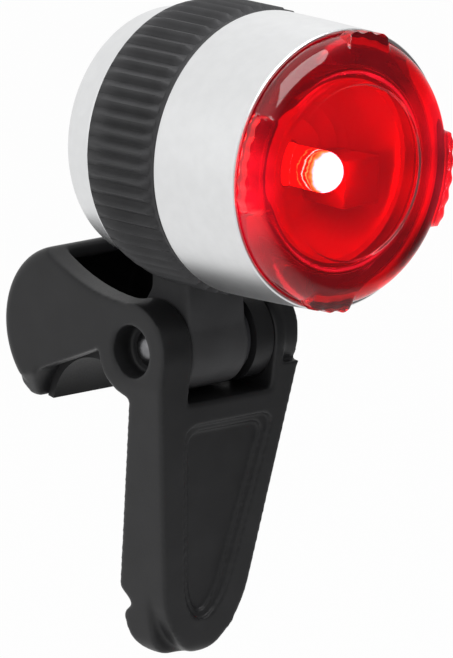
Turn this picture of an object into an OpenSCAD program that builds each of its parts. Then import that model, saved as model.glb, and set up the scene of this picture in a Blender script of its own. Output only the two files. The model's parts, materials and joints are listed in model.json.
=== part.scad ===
// Bike rear light: a round lamp head that tilts on a hooked tube bracket.
// The lamp looks along -Y and the hinge pin lies along X.
// The origin is the middle of the axis of the tube that the bracket sits on.

/* [Tube seat] */
// Radius of the tube that the bracket sits on
tube_r = 7.5; // [6.5:0.1:8]
// Distance of the hinge pin in front of the tube axis
pin_front = 9.8; // [9.4:0.1:11]
// Height of the hinge pin above the tube axis
pin_up = 10.3; // [10:0.1:12]
// Thickness of the rubber lining
pad_t = 1; // [0.6:0.1:1.2]
// Angle at which the lining starts at the lip, from the rear
pad_start = 12; // [8:1:20]
// Angle at which the lining ends near the hinge, from the rear
pad_end = 145; // [130:1:150]

/* [Hinge] */
// Radius of the round ears
ear_r = 5.8; // [5:0.1:6.2]
// Radius of the hinge pin
pin_r = 1.5; // [1:0.1:2]
// Radius of the pin's domed head
head_r = 2.1; // [2:0.1:2.6]
// Height of the pin's domed head
head_h = 1; // [0.6:0.1:1.4]
// Radius of the counterbores for the head and the retainer
counterbore_r = 3.05; // [2.8:0.05:3.6]
// Depth of the counterbore in the left ear
counterbore_depth = 2.9; // [2:0.1:3.4]
// Thickness of the left ear
left_ear_t = 4.7; // [4.2:0.1:5]
// Width of the lamp's foot on the pin
foot_w = 8.9; // [7:0.1:10]
// Radius of the lamp's foot round the pin
foot_r = 5.5; // [4.5:0.1:5.6]
// Thickness of the friction washer
washer_t = 0.8; // [0.5:0.1:1.5]
// Radius of the friction washer
washer_r = 4.6; // [3.5:0.1:5]
// Width of the friction ring
ring_w = 2.7; // [2.5:0.1:3.4]
// Radius of the friction ring
ring_r = 5.5; // [5.2:0.1:5.6]
// Thickness of the right ear
right_ear_t = 3.9; // [3.4:0.1:4.4]
// Distance below the pin of the plate's shoulder beside the right ear
shoulder_drop = 3.2; // [2.6:0.1:4]
// Width of the plate's shoulder
shoulder_w = 2.4; // [1.5:0.1:3]
// Height of the crevice between the shoulder and the right ear
shoulder_gap = 0.6; // [0.4:0.05:0.8]
// Depth of the counterbore for the pin's retainer
retainer_depth = 1.1; // [0.8:0.1:1.3]
// Thickness of the pin's retainer
retainer_t = 0.7; // [0.4:0.1:0.8]

/* [Friction spring] */
// Radius of the spring wire
spring_wire_r = 0.25; // [0.15:0.05:0.3]
// Radius of the coil, to the middle of the wire
spring_r = 3.3; // [3:0.1:3.5]
// Rise of the coil in one turn
spring_pitch = 1; // [0.95:0.05:1.1]
// Number of turns
spring_turns = 1.5; // [1:0.25:1.5]
// Depth of the pocket that holds the spring
spring_pocket = 2; // [1.9:0.1:2.1]

/* [Tail] */
// Length of the tail from the pin to its tip
tail_len = 37.5; // [34:0.2:42]
// Rearward lean of the tail's front face
front_lean = 8.6; // [4:0.2:11]
// Rearward lean of the tail's back edges
back_lean = 14; // [12:0.2:18]
// Sideways taper of each edge
tail_taper = 9.3; // [6:0.1:10]
// Distance below the pin where the taper starts
taper_from = 4; // [2:0.5:6]
// Length of the rounded end, seen from the front
round_len = 7.9; // [6:0.1:9]
// Radius of the strap hook behind the tip, seen from the side
hook_r = 4.2; // [3.6:0.1:4.8]
// Distance of the strap hook's centre behind the pin
hook_back = 2.4; // [2:0.1:3]
// Radius of the strap hook's lower corners, seen from the front
hook_corner = 2.2; // [1:0.1:3]
// Radius of the plate's lower edge, seen from the side
lobe_r = 1.4; // [1:0.1:1.6]
// Height of the strap notch above the tip
notch_up = 7.9; // [7:0.1:9]
// Depth of the strap notch
notch_depth = 1.75; // [1:0.05:2.2]
// Height of the strap notch
notch_h = 1.85; // [1.4:0.05:2.2]
// Thickness of the tail's front plate
plate_t = 2.4; // [2:0.1:3]
// Thickness of the tail's side walls
tail_wall = 2; // [1.4:0.1:2.6]
// Length of the solid end below the channel
end_len = 9.4; // [8.5:0.1:11]
// Thickness of the bridge between the ears, under the foot
bridge_t = 2.4; // [1.8:0.1:3]
// Length of the ears' bosses below the pin
boss_len = 9; // [7:0.5:11]
// Distance of the recessed panel below the pin
panel_top = 9; // [8:0.1:12]
// Distance of the recessed panel above the tip
panel_bottom = 4.2; // [3:0.1:6]
// Width of the flat border round the recessed panel
panel_border = 3.3; // [2.5:0.1:4]
// Sideways shift of the recessed panel's top
panel_shift = 0.8; // [-1:0.1:1]
// Sideways shift of the recessed panel's tip
panel_tip_shift = -0.3; // [-1:0.1:1]
// Radius of the recessed panel's upper corners
panel_corner = 1.4; // [0.5:0.1:2]
// Width of the step inside the recessed panel
panel_step = 0.9; // [0.5:0.1:1.4]
// Depth of each of the panel's two steps
panel_depth = 0.55; // [0.3:0.05:0.7]

/* [Jaw] */
// Radius of the jaw's round back
jaw_r = 9.8; // [9.4:0.1:11]
// Distance of the round back's centre behind the pin
jaw_back = 12.7; // [12.2:0.1:13]
// Height of the round back's centre above the pin
jaw_up = 0.5; // [0:0.1:1]
// Thickness of the jaw's round back
jaw_wall = 2; // [1.4:0.1:2.4]
// Thickness of the jaw's side walls
jaw_side_t = 3.3; // [2:0.1:3.4]
// Radius of the rounding at the ends of the round back
jaw_round = 1.2; // [0.8:0.1:2]
// Distance of the pocket's rear edge behind the round back's centre
mouth_back = 1.9; // [1:0.1:2.2]
// Thickness of the roof over the tube
roof_t = 1.8; // [1.2:0.1:2.4]
// Slope of the side walls' lower edges
wall_slope = 21.8; // [18:0.2:24]
// Radius of the dip in the jaw's top rim
rim_r = 26; // [24:0.1:28]
// Distance of the dip's centre behind the pin
rim_back = 0.8; // [0.4:0.05:1.2]
// Lowest height of the rim above the pin
rim_up = 5.65; // [5.5:0.05:5.8]
// Angle on the round back where the lip leaves it
lip_angle = 20; // [14:1:26]
// Length of the lip below that
lip_len = 6; // [5:0.1:6.4]
// Inward slant at the ends of the lip
lip_slant = 2.3; // [1:0.1:3]

/* [Lamp housing] */
// Height of the lamp axis above the hinge pin
lamp_rise = 23.7; // [22.8:0.1:26]
// Radius of the collar over its ribs
collar_r = 16.95; // [16:0.05:18]
// Distance of the collar's front edge in front of the pin
collar_front = 10.5; // [9.5:0.1:12]
// Distance of the collar's rear edge behind the pin
collar_rear = 1.85; // [1.5:0.05:2.2]
// Thickness of the collar under its ribs
collar_wall = 1.15; // [1:0.05:1.4]
// Number of ribs round the collar
rib_count = 60; // [48:1:72]
// Turn of the first rib from the lamp's right side
rib_turn = 0.4; // [0.3:0.1:0.6]
// Height of the ribs
rib_h = 0.5; // [0.3:0.05:0.6]
// Drop of the ribs towards the collar's rear edge
rib_drop = 0.75; // [0.6:0.05:0.9]
// Width of the plain rim at the collar's front
collar_rim = 1.1; // [0.6:0.1:2]
// Length of the barrel in front of the collar
barrel_len = 13.4; // [12.8:0.1:15]
// Step down from the ribs to the barrel
barrel_drop = 0.3; // [0.1:0.05:0.5]
// Narrowing of the barrel towards the lens
barrel_taper = 0.25; // [0.1:0.05:0.4]
// Width of the bright chamfer round the lens
barrel_chamfer = 0.3; // [0.2:0.05:0.4]
// Thickness of the barrel's spigot
barrel_wall = 1.1; // [0.9:0.05:1.3]
// Length of the barrel's spigot in the collar
barrel_spigot = 6.4; // [5.5:0.1:7]
// Step down from the ribs to the rear cap
cap_drop = 1.2; // [0.9:0.05:1.4]
// Length of the rear cap's side
cap_side = 3.8; // [3:0.1:5]
// Rise of the rear cap's crown
cap_crown = 3; // [2:0.1:4]
// Thickness of the rear cap's crown
cap_t = 1.8; // [1.2:0.1:2.4]
// Length of the cap's spigot in the collar
cap_spigot = 4.05; // [3.6:0.05:4.2]
// Thickness of the cap's spigot
cap_wall = 2; // [1.8:0.05:2.2]

/* [Lens] */
// Width of the flat rim between the chamfer and the lens
lens_rim = 0.15; // [0.1:0.05:0.3]
// Depth of the lens seat in the barrel
lens_seat = 1.5; // [1.2:0.1:2]
// Rise of the lens in front of the barrel
lens_rise = 2.8; // [2.4:0.1:3.6]
// Length of the lens skirt behind its seat
lens_skirt = 3.3; // [3.1:0.1:3.6]
// Thickness of the lens skirt
skirt_wall = 1.5; // [1.2:0.1:1.6]
// Thickness of the lens
lens_t = 1.7; // [1.3:0.1:2]
// Width of the band round the sunk disc in the lens
lens_band = 5.6; // [5:0.1:6.5]
// Depth of the sunk disc
lens_disc_depth = 0.55; // [0.3:0.05:0.8]
// Height of the grip lugs over the lens edge
grip_out = 0.6; // [0.3:0.05:0.9]
// Half angle of the grip lugs at the sides
grip_side = 22; // [15:1:28]
// Half angle of the grip lugs at the top and bottom
grip_top = 13; // [10:1:20]
// Turn of the grip lugs from upright when the lens is off
grip_turn = -11; // [-20:1:0]
// Radius of the seal ring's section under the lens
lens_seal_r = 0.33; // [0.25:0.01:0.35]

/* [Bayonets] */
// Number of bayonet lugs on the lens and on the cap
bayonet_count = 3; // [2:1:3]
// Angle that each bayonet lug covers
bayonet_angle = 22; // [16:1:24]
// Height of the bayonet lugs
bayonet_h = 0.6; // [0.4:0.05:0.6]
// Width of the bayonet lugs along the lamp axis
bayonet_w = 1.1; // [0.8:0.05:1.2]

/* [Light unit] */
// Thickness of the circuit board
board_t = 1.2; // [0.8:0.1:1.6]
// Radius of the light-emitting diode
led_r = 2.5; // [1.5:0.1:2.5]
// Length of the light-emitting diode
led_len = 10.5; // [9:0.1:10.8]
// Sideways place of the diode
led_x = -0.8; // [-1.5:0.1:-0.8]
// Height of the diode above the lamp axis
led_y = -0.4; // [-1:0.1:1]
// Side of the square block beside the diode
block_side = 5.8; // [4:0.1:6]
// Height of the square block
block_len = 8.7; // [6:0.1:9]
// Sideways place of the square block
block_x = 4.9; // [4.9:0.1:5.6]
// Height of the square block above the lamp axis
block_y = -2.4; // [-3:0.1:0]
// Share of the reflector's radius that its flat floor takes
floor_share = 0.43; // [0.3:0.01:0.5]
// Height of the reflector
reflector_h = 9; // [8:0.1:9.6]
// Thickness of the reflector
reflector_t = 0.8; // [0.6:0.1:1]
// Radius of the board screws' heads
screw_head_r = 1.6; // [1.2:0.1:1.8]
// Distance of the board screws from the lamp axis, as a share of the cell's radius
screw_share = 0.7; // [0.6:0.01:0.75]

/* [Batteries] */
// Thickness of the holder's wall round the cells
holder_wall = 1.45; // [1.2:0.05:2]
// Thickness of a coin cell
cell_t = 5; // [4.5:0.1:5]
// Thickness of the holder's floor
holder_floor = 1.4; // [1:0.1:1.8]
// Radius of the brass plus contact
plus_r = 2; // [1.5:0.1:3]
// Share of the cell's radius that the contact disc takes
contact_share = 0.65; // [0.6:0.01:0.8]
// Thickness of the contact disc
contact_t = 0.4; // [0.3:0.05:0.6]
// Radius of the contact spring's wire
coil_wire_r = 0.35; // [0.25:0.05:0.4]
// Distance of the contact spring inside the disc's edge
coil_inset = 1.2; // [1:0.1:2]
// Share of its radius that the contact spring keeps at the cell
coil_share = 0.53; // [0.4:0.01:0.7]
// Radius of the seal ring's section round the cap's spigot
cap_seal_r = 0.5; // [0.4:0.01:0.55]
// Turns of the contact spring
coil_turns = 3; // [2:0.5:3]

/* [Clearances] */
// Gap between the hinge's sides
side_gap = 0.15; // [0.1:0.05:0.2]
// Radial gap of the pin in its bores
pin_fit = 0.05; // [0.03:0.01:0.08]
// Gap round the lamp's foot as it turns
turn_gap = 0.3; // [0.2:0.05:0.4]
// Gap between the tube and the tail, and the tube and the jaw's walls
seat_gap = 0.1; // [0.05:0.05:0.2]
// Gap between fixed pieces that nest
nest_gap = 0.05; // [0.03:0.01:0.1]
// Radial gap of the lens and cap in the housing
twist_gap = 0.3; // [0.2:0.05:0.35]
// Gap round the bayonet lugs and the lens edge
bayonet_gap = 0.15; // [0.1:0.05:0.2]
// Gap round the coin cells
cell_gap = 0.15; // [0.1:0.05:0.3]

/* [Hidden] */
$fn = 96;

// Margin by which a cutting shape runs past what it cuts
over = 1;
// A length longer than any piece
far = 60;

// Stations of the hinge's pieces along the pin, from left to right
stack_w = left_ear_t + foot_w + washer_t + ring_w + right_ear_t + 4 * side_gap;
half_w = stack_w / 2;
left_ear_x = [-half_w, -half_w + left_ear_t];
foot_x = [left_ear_x[1] + side_gap, left_ear_x[1] + side_gap + foot_w];
washer_x = [foot_x[1] + side_gap, foot_x[1] + side_gap + washer_t];
ring_x = [washer_x[1] + side_gap, washer_x[1] + side_gap + ring_w];
right_ear_x = [ring_x[1] + side_gap, half_w];
bore_r = pin_r + pin_fit;
head_x = left_ear_x[0] + counterbore_depth;
retainer_x = half_w - retainer_depth;

// The tube's centre and the jaw's centres, seen from the pin, as [back, up]
tube_at = [pin_front, -pin_up];
jaw_at = [jaw_back, jaw_up];
rim_at = [rim_back, rim_up + rim_r];
turn_r = ear_r + turn_gap;
seat_r = tube_r + pad_t;

// Planes of the lamp, as distances in front of the pin
barrel_front = collar_front + barrel_len;
seat_plane = barrel_front - lens_seat;
skirt_end = seat_plane - lens_skirt;
lens_front = barrel_front + lens_rise;
spigot_end = collar_front - barrel_spigot;
cap_front = cap_spigot - collar_rear;
cap_edge = -collar_rear - cap_side;
cap_end = cap_edge - cap_crown;
cap_floor = cap_end + cap_t + cap_crown * 0.3;
holder_back = cap_front + twist_gap;
cells_back = holder_back - 1.9;
cells_front = cells_back + 2 * cell_t;
board_back = cells_front + holder_floor;
board_front = board_back + board_t;

// Radii of the lamp, each from the one it fits in or on
rib_root_r = collar_r - rib_h;
collar_bore_r = rib_root_r - collar_wall;
barrel_back_r = collar_r - barrel_drop;
barrel_front_r = barrel_back_r - barrel_taper;
barrel_bore_r = collar_bore_r - nest_gap - barrel_wall;
ledge_r = barrel_bore_r - barrel_wall;
ledge_len = board_t + 0.4;
lens_r = barrel_front_r - barrel_chamfer - lens_rim - bayonet_gap;
grip_r = lens_r + grip_out;
lens_disc_r = lens_r - lens_band;
skirt_r = barrel_bore_r - twist_gap;
skirt_bore_r = skirt_r - skirt_wall;
reflector_r = skirt_bore_r - 2 * twist_gap;
floor_r = reflector_r * floor_share;
holder_r = barrel_bore_r - twist_gap;
cell_r = holder_r - holder_wall - cell_gap;
screw_ring_r = cell_r * screw_share;
contact_r = cell_r * contact_share;
coil_big_r = contact_r - coil_inset;
coil_small_r = coil_big_r * coil_share;
cap_r = collar_r - cap_drop;
cap_spigot_r = collar_bore_r - twist_gap;
cap_bore_r = cap_spigot_r - cap_wall;
lens_bayonet = skirt_end + 0.7;
cap_bayonet = cap_front - 0.8 - bayonet_w;

// Point at an angle on a circle
function polar(r, a) = [r * cos(a), r * sin(a)];

// Points along an arc, both ends included
function arc(c, r, a0, a1, n) = [for (i = [0:n]) c + polar(r, a0 + (a1 - a0) * i / n)];

// Rings of points round a path: each ring has 6 sides across the path's run
function tube_ring(c, out, up, r) = [for (s = [0:5]) c + r * (cos(60 * s) * out + sin(60 * s) * up)];

// Closed tube of triangles through rings of 6 points
module ring_tube(rings) {
    n = len(rings);
    points = [for (ring = rings, p = ring) p];
    sides = [for (i = [0:n - 2], s = [0:5], half = [0:1])
        let (a = 6 * i + s, b = 6 * i + (s + 1) % 6)
        half == 0 ? [a, a + 6, b] : [b, a + 6, b + 6]];
    ends = [for (s = [1:4], end = [0:1])
        let (o = end * 6 * (n - 1))
        end == 0 ? [o, o + s, o + s + 1] : [o, o + s + 1, o + s]];
    polyhedron(points, concat(sides, ends));
}

// Middle line of a coil about Z whose radius goes from r0 to r1
rings_per_turn = 8;
function coil_line(r0, r1, h, turns) = [for (i = [0:turns * rings_per_turn])
    let (t = i / (turns * rings_per_turn), a = 360 * turns * t, r = r0 + (r1 - r0) * t)
    [r * cos(a), r * sin(a), h * t]];

// Least gap between the turns of a coil, measured on its points
function coil_gap(line, wire_r) = min([for (i = [0:len(line) - 1 - rings_per_turn / 2])
    min([for (j = [i + rings_per_turn / 2:len(line) - 1]) norm(line[i] - line[j])])]) - 2 * wire_r;

module coil(line, wire_r) {
    ring_tube([for (p = line)
        let (out = [p.x, p.y, 0] / norm([p.x, p.y]))
        tube_ring(p, out, [0, 0, 1], wire_r)]);
}

// Places a shape drawn round the pin
module at_pin() translate([0, -pin_front, pin_up]) children();

// Extrudes a side view, drawn as [back, up], from one X to another
module across(x0, x1) translate([x0, 0, 0]) rotate([90, 0, 90]) linear_extrude(x1 - x0) children();

// Extrudes a front view, drawn as [x, up], right through from front to back
module through() translate([0, far / 2, 0]) rotate([90, 0, 0]) linear_extrude(far) children();

// Places a lamp piece: its Z runs forward from the pin along the lamp axis, and its Y runs up
module on_axis() at_pin() translate([0, 0, lamp_rise]) rotate([90, 0, 0]) children();

// Ring of rectangular section about Z
module band(r0, r1, z0, z1) rotate_extrude() translate([r0, z0]) square([r1 - r0, z1 - z0]);

// Lugs of a bayonet about Z, spaced evenly
module bayonet(r0, r1, z0, z1, angle, turn) {
    for (i = [0:bayonet_count - 1])
        rotate([0, 0, turn + 360 * i / bayonet_count - angle / 2])
            rotate_extrude(angle = angle) translate([r0, z0]) square([r1 - r0, z1 - z0]);
}

// Side view of the jaw's outside, before its seat and pocket are cut
module jaw_blank() {
    difference() {
        union() {
            translate(jaw_at) circle(jaw_r);
            translate([0, -ear_r * 0.9]) square([jaw_back, ear_r * 0.9 + jaw_up + jaw_r]);
        }
        translate(rim_at) circle(rim_r);
    }
}

// Side view of the lip that hangs behind the tube
module jaw_lip() {
    start = jaw_at + polar(jaw_r, -lip_angle);
    polygon([jaw_at, start, start + lip_len * [-sin(lip_angle), -cos(lip_angle)],
             tube_at + polar(seat_r, pad_start), tube_at + polar(seat_r - over, 45)]);
}

// Side view of the open pocket over the tube
module jaw_pocket() {
    difference() {
        union() {
            translate(jaw_at) circle(jaw_r - jaw_wall);
            translate([0, -far / 2]) square([jaw_back, far]);
            translate(jaw_at) square([mouth_back, far]);
        }
        translate(tube_at) circle(seat_r + roof_t);
    }
}

// Side view of the jaw between its walls: round back, roof and lip
module jaw_shell() {
    difference() {
        union() {
            difference() {
                union() {
                    jaw_blank();
                    jaw_lip();
                }
                jaw_pocket();
            }
            intersection() {
                circle(turn_r + roof_t);
                translate([0, -ear_r * 0.9]) square([far, ear_r * 0.9 + 1.5]);
            }
        }
        translate(tube_at) circle(seat_r);
        circle(turn_r);
    }
}

// Side view of the jaw's side walls, which stop above the tube
module jaw_side() {
    intersection() {
        jaw_blank();
        translate(tube_at) rotate(-wall_slope) translate([-far, tube_r + seat_gap]) square([2 * far, far]);
    }
}

// Front view that slants the ends of the lip
module jaw_front() {
    wall_end = tube_at.y + 5;
    polygon([[-half_w, far], [-half_w, wall_end], [-half_w + lip_slant, wall_end - 3.3],
             [-half_w + lip_slant, -far], [half_w - lip_slant, -far],
             [half_w - lip_slant, wall_end - 3.3], [half_w, wall_end], [half_w, far]]);
}

// Room for the jaw: the ends of its round back are rounded, the rest is left as it is
module jaw_room() {
    across(-half_w, half_w) translate([-far, -far]) square([far + jaw_back - mouth_back, 2 * far]);
    across(jaw_round - half_w, half_w - jaw_round) translate([-far, -far]) square([2 * far, 2 * far]);
    translate([0, jaw_at.x, jaw_at.y]) rotate([0, 90, 0]) rotate_extrude() {
        translate([0, -half_w]) square([jaw_r - jaw_round, 2 * half_w]);
        for (side = [-1, 1]) translate([jaw_r - jaw_round, side * (half_w - jaw_round)]) circle(jaw_round);
        translate([0, jaw_round - half_w]) square([jaw_r, 2 * (half_w - jaw_round)]);
    }
}

// Hook that goes over the tube
module jaw_hook() {
    intersection() {
        union() {
            across(-half_w, -half_w + jaw_side_t) jaw_side();
            across(half_w - jaw_side_t, half_w) jaw_side();
            across(-half_w + jaw_side_t, half_w - jaw_side_t) jaw_shell();
            intersection() {
                across(-half_w, half_w) intersection() {
                    jaw_shell();
                    translate([jaw_back + 3.5, -far / 2]) square([far, far]);
                }
                through() jaw_front();
            }
        }
        jaw_room();
    }
}

// Rubber lining that the tube sits in
module jaw_pad() color([0.08, 0.08, 0.08]) at_pin() {
    across(-half_w + jaw_side_t + nest_gap, half_w - jaw_side_t - nest_gap) difference() {
        intersection() {
            translate(tube_at) circle(seat_r - nest_gap);
            translate(tube_at)
                polygon(concat([[0, 0]], arc([0, 0], 2 * seat_r, pad_start, pad_end, 6)));
        }
        translate(tube_at) circle(tube_r);
        circle(turn_r);
    }
}

// Steel pin with a domed head in the left ear
module hinge_pin() color([0.78, 0.79, 0.8]) at_pin() {
    across(head_x, half_w - (retainer_depth - retainer_t) + 0.2) circle(pin_r);
    dome_r = (head_r * head_r + head_h * head_h) / (2 * head_h);
    translate([head_x, 0, 0]) rotate([0, -90, 0]) intersection() {
        cylinder(r = head_r, h = head_h);
        translate([0, 0, head_h - dome_r]) sphere(dome_r);
    }
}

// Pressed washer that holds the pin's right end
module pin_retainer() color([0.6, 0.61, 0.62]) at_pin() {
    across(retainer_x, retainer_x + retainer_t) difference() {
        circle(counterbore_r - 0.4);
        circle(pin_r + nest_gap);
    }
}

// Ring on the pin that the spring presses against the washer
module friction_ring() color([0.14, 0.14, 0.15]) at_pin() {
    difference() {
        across(ring_x[0], ring_x[1]) circle(ring_r);
        across(ring_x[0] - over, ring_x[1] + over) circle(bore_r);
        across(ring_x[1] - spring_pocket, ring_x[1] + over) difference() {
            circle(spring_r + 1);
            circle(spring_r - 1);
        }
    }
}

// Spring in the friction ring, which holds the lamp's tilt
spring_line = coil_line(spring_r, spring_r, spring_turns * spring_pitch, spring_turns);
echo(friction_spring_gap = coil_gap(spring_line, spring_wire_r));
module friction_spring() color([0.7, 0.7, 0.72]) at_pin() {
    translate([ring_x[1] - spring_pocket + spring_wire_r + nest_gap, 0, 0])
        rotate([0, 90, 0]) coil(spring_line, spring_wire_r);
}

// Washer between the friction ring and the lamp's foot
module friction_washer() color([0.2, 0.2, 0.2]) at_pin() {
    across(washer_x[0], washer_x[1]) difference() {
        circle(washer_r);
        circle(bore_r);
    }
}

// Tail: places along its front face, back edges and sides at a height below the pin
function tail_front_y(up, inset) = -(ear_r - inset + up * sin(front_lean)) / cos(front_lean);
back_off = tube_at.x * cos(back_lean) + tube_at.y * sin(back_lean) - tube_r - seat_gap;
function tail_back_y(up) = (back_off - up * sin(back_lean)) / cos(back_lean);
function tail_half(up) = half_w - max(0, -up - taper_from) * tan(tail_taper);

// Centres of the plate's rounded lower edge and of the strap hook, seen from the side
lobe_up = lobe_r - tail_len;
lobe_at = [(lobe_r - ear_r - lobe_up * sin(front_lean)) / cos(front_lean), lobe_up];
hook_at = [hook_back, hook_r - tail_len];

// Side view of the ears and the tail, with its strap hook
module tail_side() {
    notch = notch_up - tail_len;
    circle(ear_r);
    translate(lobe_at) circle(lobe_r);
    intersection() {
        translate(hook_at) circle(hook_r);
        tail_slab(0, 1, 0, -tail_len - over);
    }
    polygon([polar(ear_r, 180 + front_lean), lobe_at + polar(lobe_r, 180 + front_lean), lobe_at, hook_at,
             hook_at + polar(hook_r, 8), [tail_back_y(notch) - notch_depth, notch - notch_h],
             [tail_back_y(notch), notch], [tail_back_y(-ear_r * 0.9), -ear_r * 0.9], [0, 0]]);
}

// Cut that opens the strap notch above the strap hook
module notch_cut() {
    notch = notch_up - tail_len;
    polygon([[tail_back_y(notch), notch], [tail_back_y(notch) - notch_depth, notch - notch_h],
             hook_at + polar(hook_r, 8), [far, hook_at.y + hook_r], [far, notch]]);
}

// Front view of the strap hook: as wide as the tail, with rounded lower corners
module hook_front() {
    side = concat([[tail_half(ear_r), ear_r + over], [tail_half(0), -taper_from]],
        [for (a = [0:15:90])
            let (up = hook_corner * (1 - sin(a)) - tail_len)
            [tail_half(up) - hook_corner * (1 - cos(a)), up]]);
    polygon(concat(side, [for (i = [len(side) - 1:-1:0]) [-side[i].x, side[i].y]]));
}

// Front view of the tail, or of a shape set in from its edges, with a rounded end
module tail_front(top, bottom, inset, round, corner = 0, top_shift = 0, tip_shift = 0) {
    start = bottom + round;
    shoulder = [for (a = [0:30:90]) [tail_half(top) - inset - corner * (1 - sin(a)), top - corner * (1 - cos(a))]];
    side = concat(shoulder,
        top > -taper_from ? [[tail_half(0) - inset, -taper_from]] : [],
        [for (i = [0:8])
            let (a = 90 * i / 8, up = start - round * sin(a))
            [(tail_half(up) - inset) * cos(a), up]]);
    outline = concat(side, [for (i = [len(side) - 2:-1:0]) [-side[i].x, side[i].y]]);
    lean = (top_shift - tip_shift) / (top - bottom);
    polygon([for (p = outline) [p.x + tip_shift + lean * (p.y - bottom), p.y]]);
}

// Side view of all that lies from a depth under the tail's front face, or in front of it
module tail_slab(depth, direction, top, bottom) {
    polygon([[tail_front_y(top, depth), top], [tail_front_y(bottom, depth), bottom],
             [direction * far, bottom], [direction * far, top]]);
}

// Side view of the boss that carries an ear
module ear_boss() {
    circle(ear_r);
    polygon([polar(ear_r, 180 + front_lean), [tail_front_y(-boss_len, 0), -boss_len],
             [tail_back_y(-boss_len), -boss_len], [tail_back_y(-ear_r * 0.9), -ear_r * 0.9], [0, 0]]);
}

// Recess in the tail's front plate
module panel_cut(step) {
    inset = panel_border + step * panel_step;
    top = -panel_top - step * panel_step;
    bottom = panel_bottom + step * panel_step - tail_len;
    intersection() {
        across(-half_w, half_w) tail_slab((step + 1) * panel_depth, -1, top + over, bottom - over);
        through() tail_front(top, bottom, inset, round_len * 0.6, panel_corner, panel_shift, panel_tip_shift);
    }
}

// Ears and tail with a hooked end
module bracket_tail() {
    intersection() {
        across(-half_w, half_w) tail_side();
        through() tail_front(ear_r + over, -tail_len, 0, round_len);
    }
    intersection() {
        across(-half_w, half_w) intersection() {
            tail_side();
            translate([lobe_at.x + lobe_r / 2, -far]) square([far, 2 * far]);
        }
        through() hook_front();
    }
}

// Side view of the saddle that closes the foot's room behind the bridge, between tube and lining
module tail_saddle() {
    difference() {
        intersection() {
            circle(turn_r + roof_t);
            translate([0, -far]) square([far, far]);
            translate(tube_at) polygon([[0, 0], polar(2 * far, pad_end + 1), polar(2 * far, 180 - back_lean)]);
        }
        translate(tube_at) circle(tube_r + seat_gap);
    }
}

// Hollow in the tail's back, below the bridge between the ears
module tail_channel() {
    top = -turn_r - bridge_t;
    difference() {
        intersection() {
            across(-half_w, half_w) tail_slab(plate_t, 1, top, end_len - tail_len);
            through() tail_front(ear_r + over, end_len - tail_len - over, tail_wall, over);
        }
        across(left_ear_x[0] - over, left_ear_x[1]) ear_boss();
        across(right_ear_x[0], half_w + over) ear_boss();
    }
}

// Side view of what is cut away round the right ear above the plate's shoulder
module shoulder_cut() {
    difference() {
        translate([-far, -shoulder_drop]) square([far, far]);
        translate([0, 0.8 * (ear_r - ring_r)]) circle(ring_r);
    }
    translate([-far, -shoulder_drop]) square([far - ear_r + 2 * shoulder_gap, shoulder_gap]);
}

// Room between the ears in which the lamp's foot turns
module foot_room() {
    circle(turn_r);
    translate([-far, -turn_r]) square([far, 2 * far]);
}

// Bracket with its hook, ears and tail, moulded in one piece
module bracket() color([0.13, 0.13, 0.14]) at_pin() {
    difference() {
        union() {
            jaw_hook();
            bracket_tail();
            across(-half_w + jaw_side_t, half_w - jaw_side_t) tail_saddle();
        }
        across(-half_w - over, half_w + over) notch_cut();
        tail_channel();
        across(left_ear_x[1], right_ear_x[0]) foot_room();
        across(half_w - shoulder_w, half_w + over) shoulder_cut();
        across(-half_w - over, half_w + over) circle(bore_r);
        across(-half_w - over, head_x) circle(counterbore_r);
        across(retainer_x, half_w + over) circle(counterbore_r);
        for (step = [0, 1]) panel_cut(step);
    }
}

// Outline of the ribbed ring: each rib rises and falls as half a wave
rib_points = 6;
module rib_outline() {
    n = rib_count * rib_points;
    polygon([for (i = [0:n - 1])
        let (wave = cos(360 * i / rib_points))
        polar(rib_root_r + rib_h * max(0, wave * 0.75 + 0.25), 360 * i / n + rib_turn)]);
}

// Section of the ring that the ribs fill: they fade at the rear and stop at the plain rim
module rib_section() {
    back = -collar_rear;
    front = collar_front - collar_rim;
    fade = [for (i = [0:3])
        let (t = i / 3)
        [collar_r - rib_drop * (1 - t) * (1 - t), back + 4.5 * t]];
    polygon(concat([[collar_bore_r, back]], fade, [[collar_r, front - 0.6], [rib_root_r + rib_h * 0.6, front - 0.2],
        [rib_root_r, front], [collar_bore_r, front]]));
}

// Side view of the foot that turns on the pin
module foot_side() {
    circle(foot_r);
    polygon([[-foot_r * 0.8, lamp_rise - collar_bore_r + over], [-foot_r * 0.9, foot_r * 0.4], [0, 0],
             polar(foot_r, 20), [collar_rear, lamp_rise - collar_r], [collar_rear, lamp_rise - collar_bore_r + over]]);
}

// Ribbed ring round the middle of the lamp, with its foot
module collar() color([0.1, 0.1, 0.11]) {
    difference() {
        union() {
            on_axis() {
                band(collar_bore_r, collar_r - rib_h / 4, collar_front - collar_rim, collar_front);
                intersection() {
                    translate([0, 0, -collar_rear]) linear_extrude(collar_front + collar_rear) rib_outline();
                    rotate_extrude() rib_section();
                }
            }
            at_pin() across(foot_x[0], foot_x[1]) foot_side();
        }
        on_axis() {
            translate([0, 0, -collar_rear - over]) cylinder(r = collar_bore_r, h = collar_front + collar_rear + 2 * over);
            band(collar_bore_r - over, cap_spigot_r + bayonet_h + bayonet_gap,
                 cap_bayonet - bayonet_gap, cap_bayonet + bayonet_w + bayonet_gap);
        }
        at_pin() across(foot_x[0] - over, foot_x[1] + over) circle(bore_r);
    }
}

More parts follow.
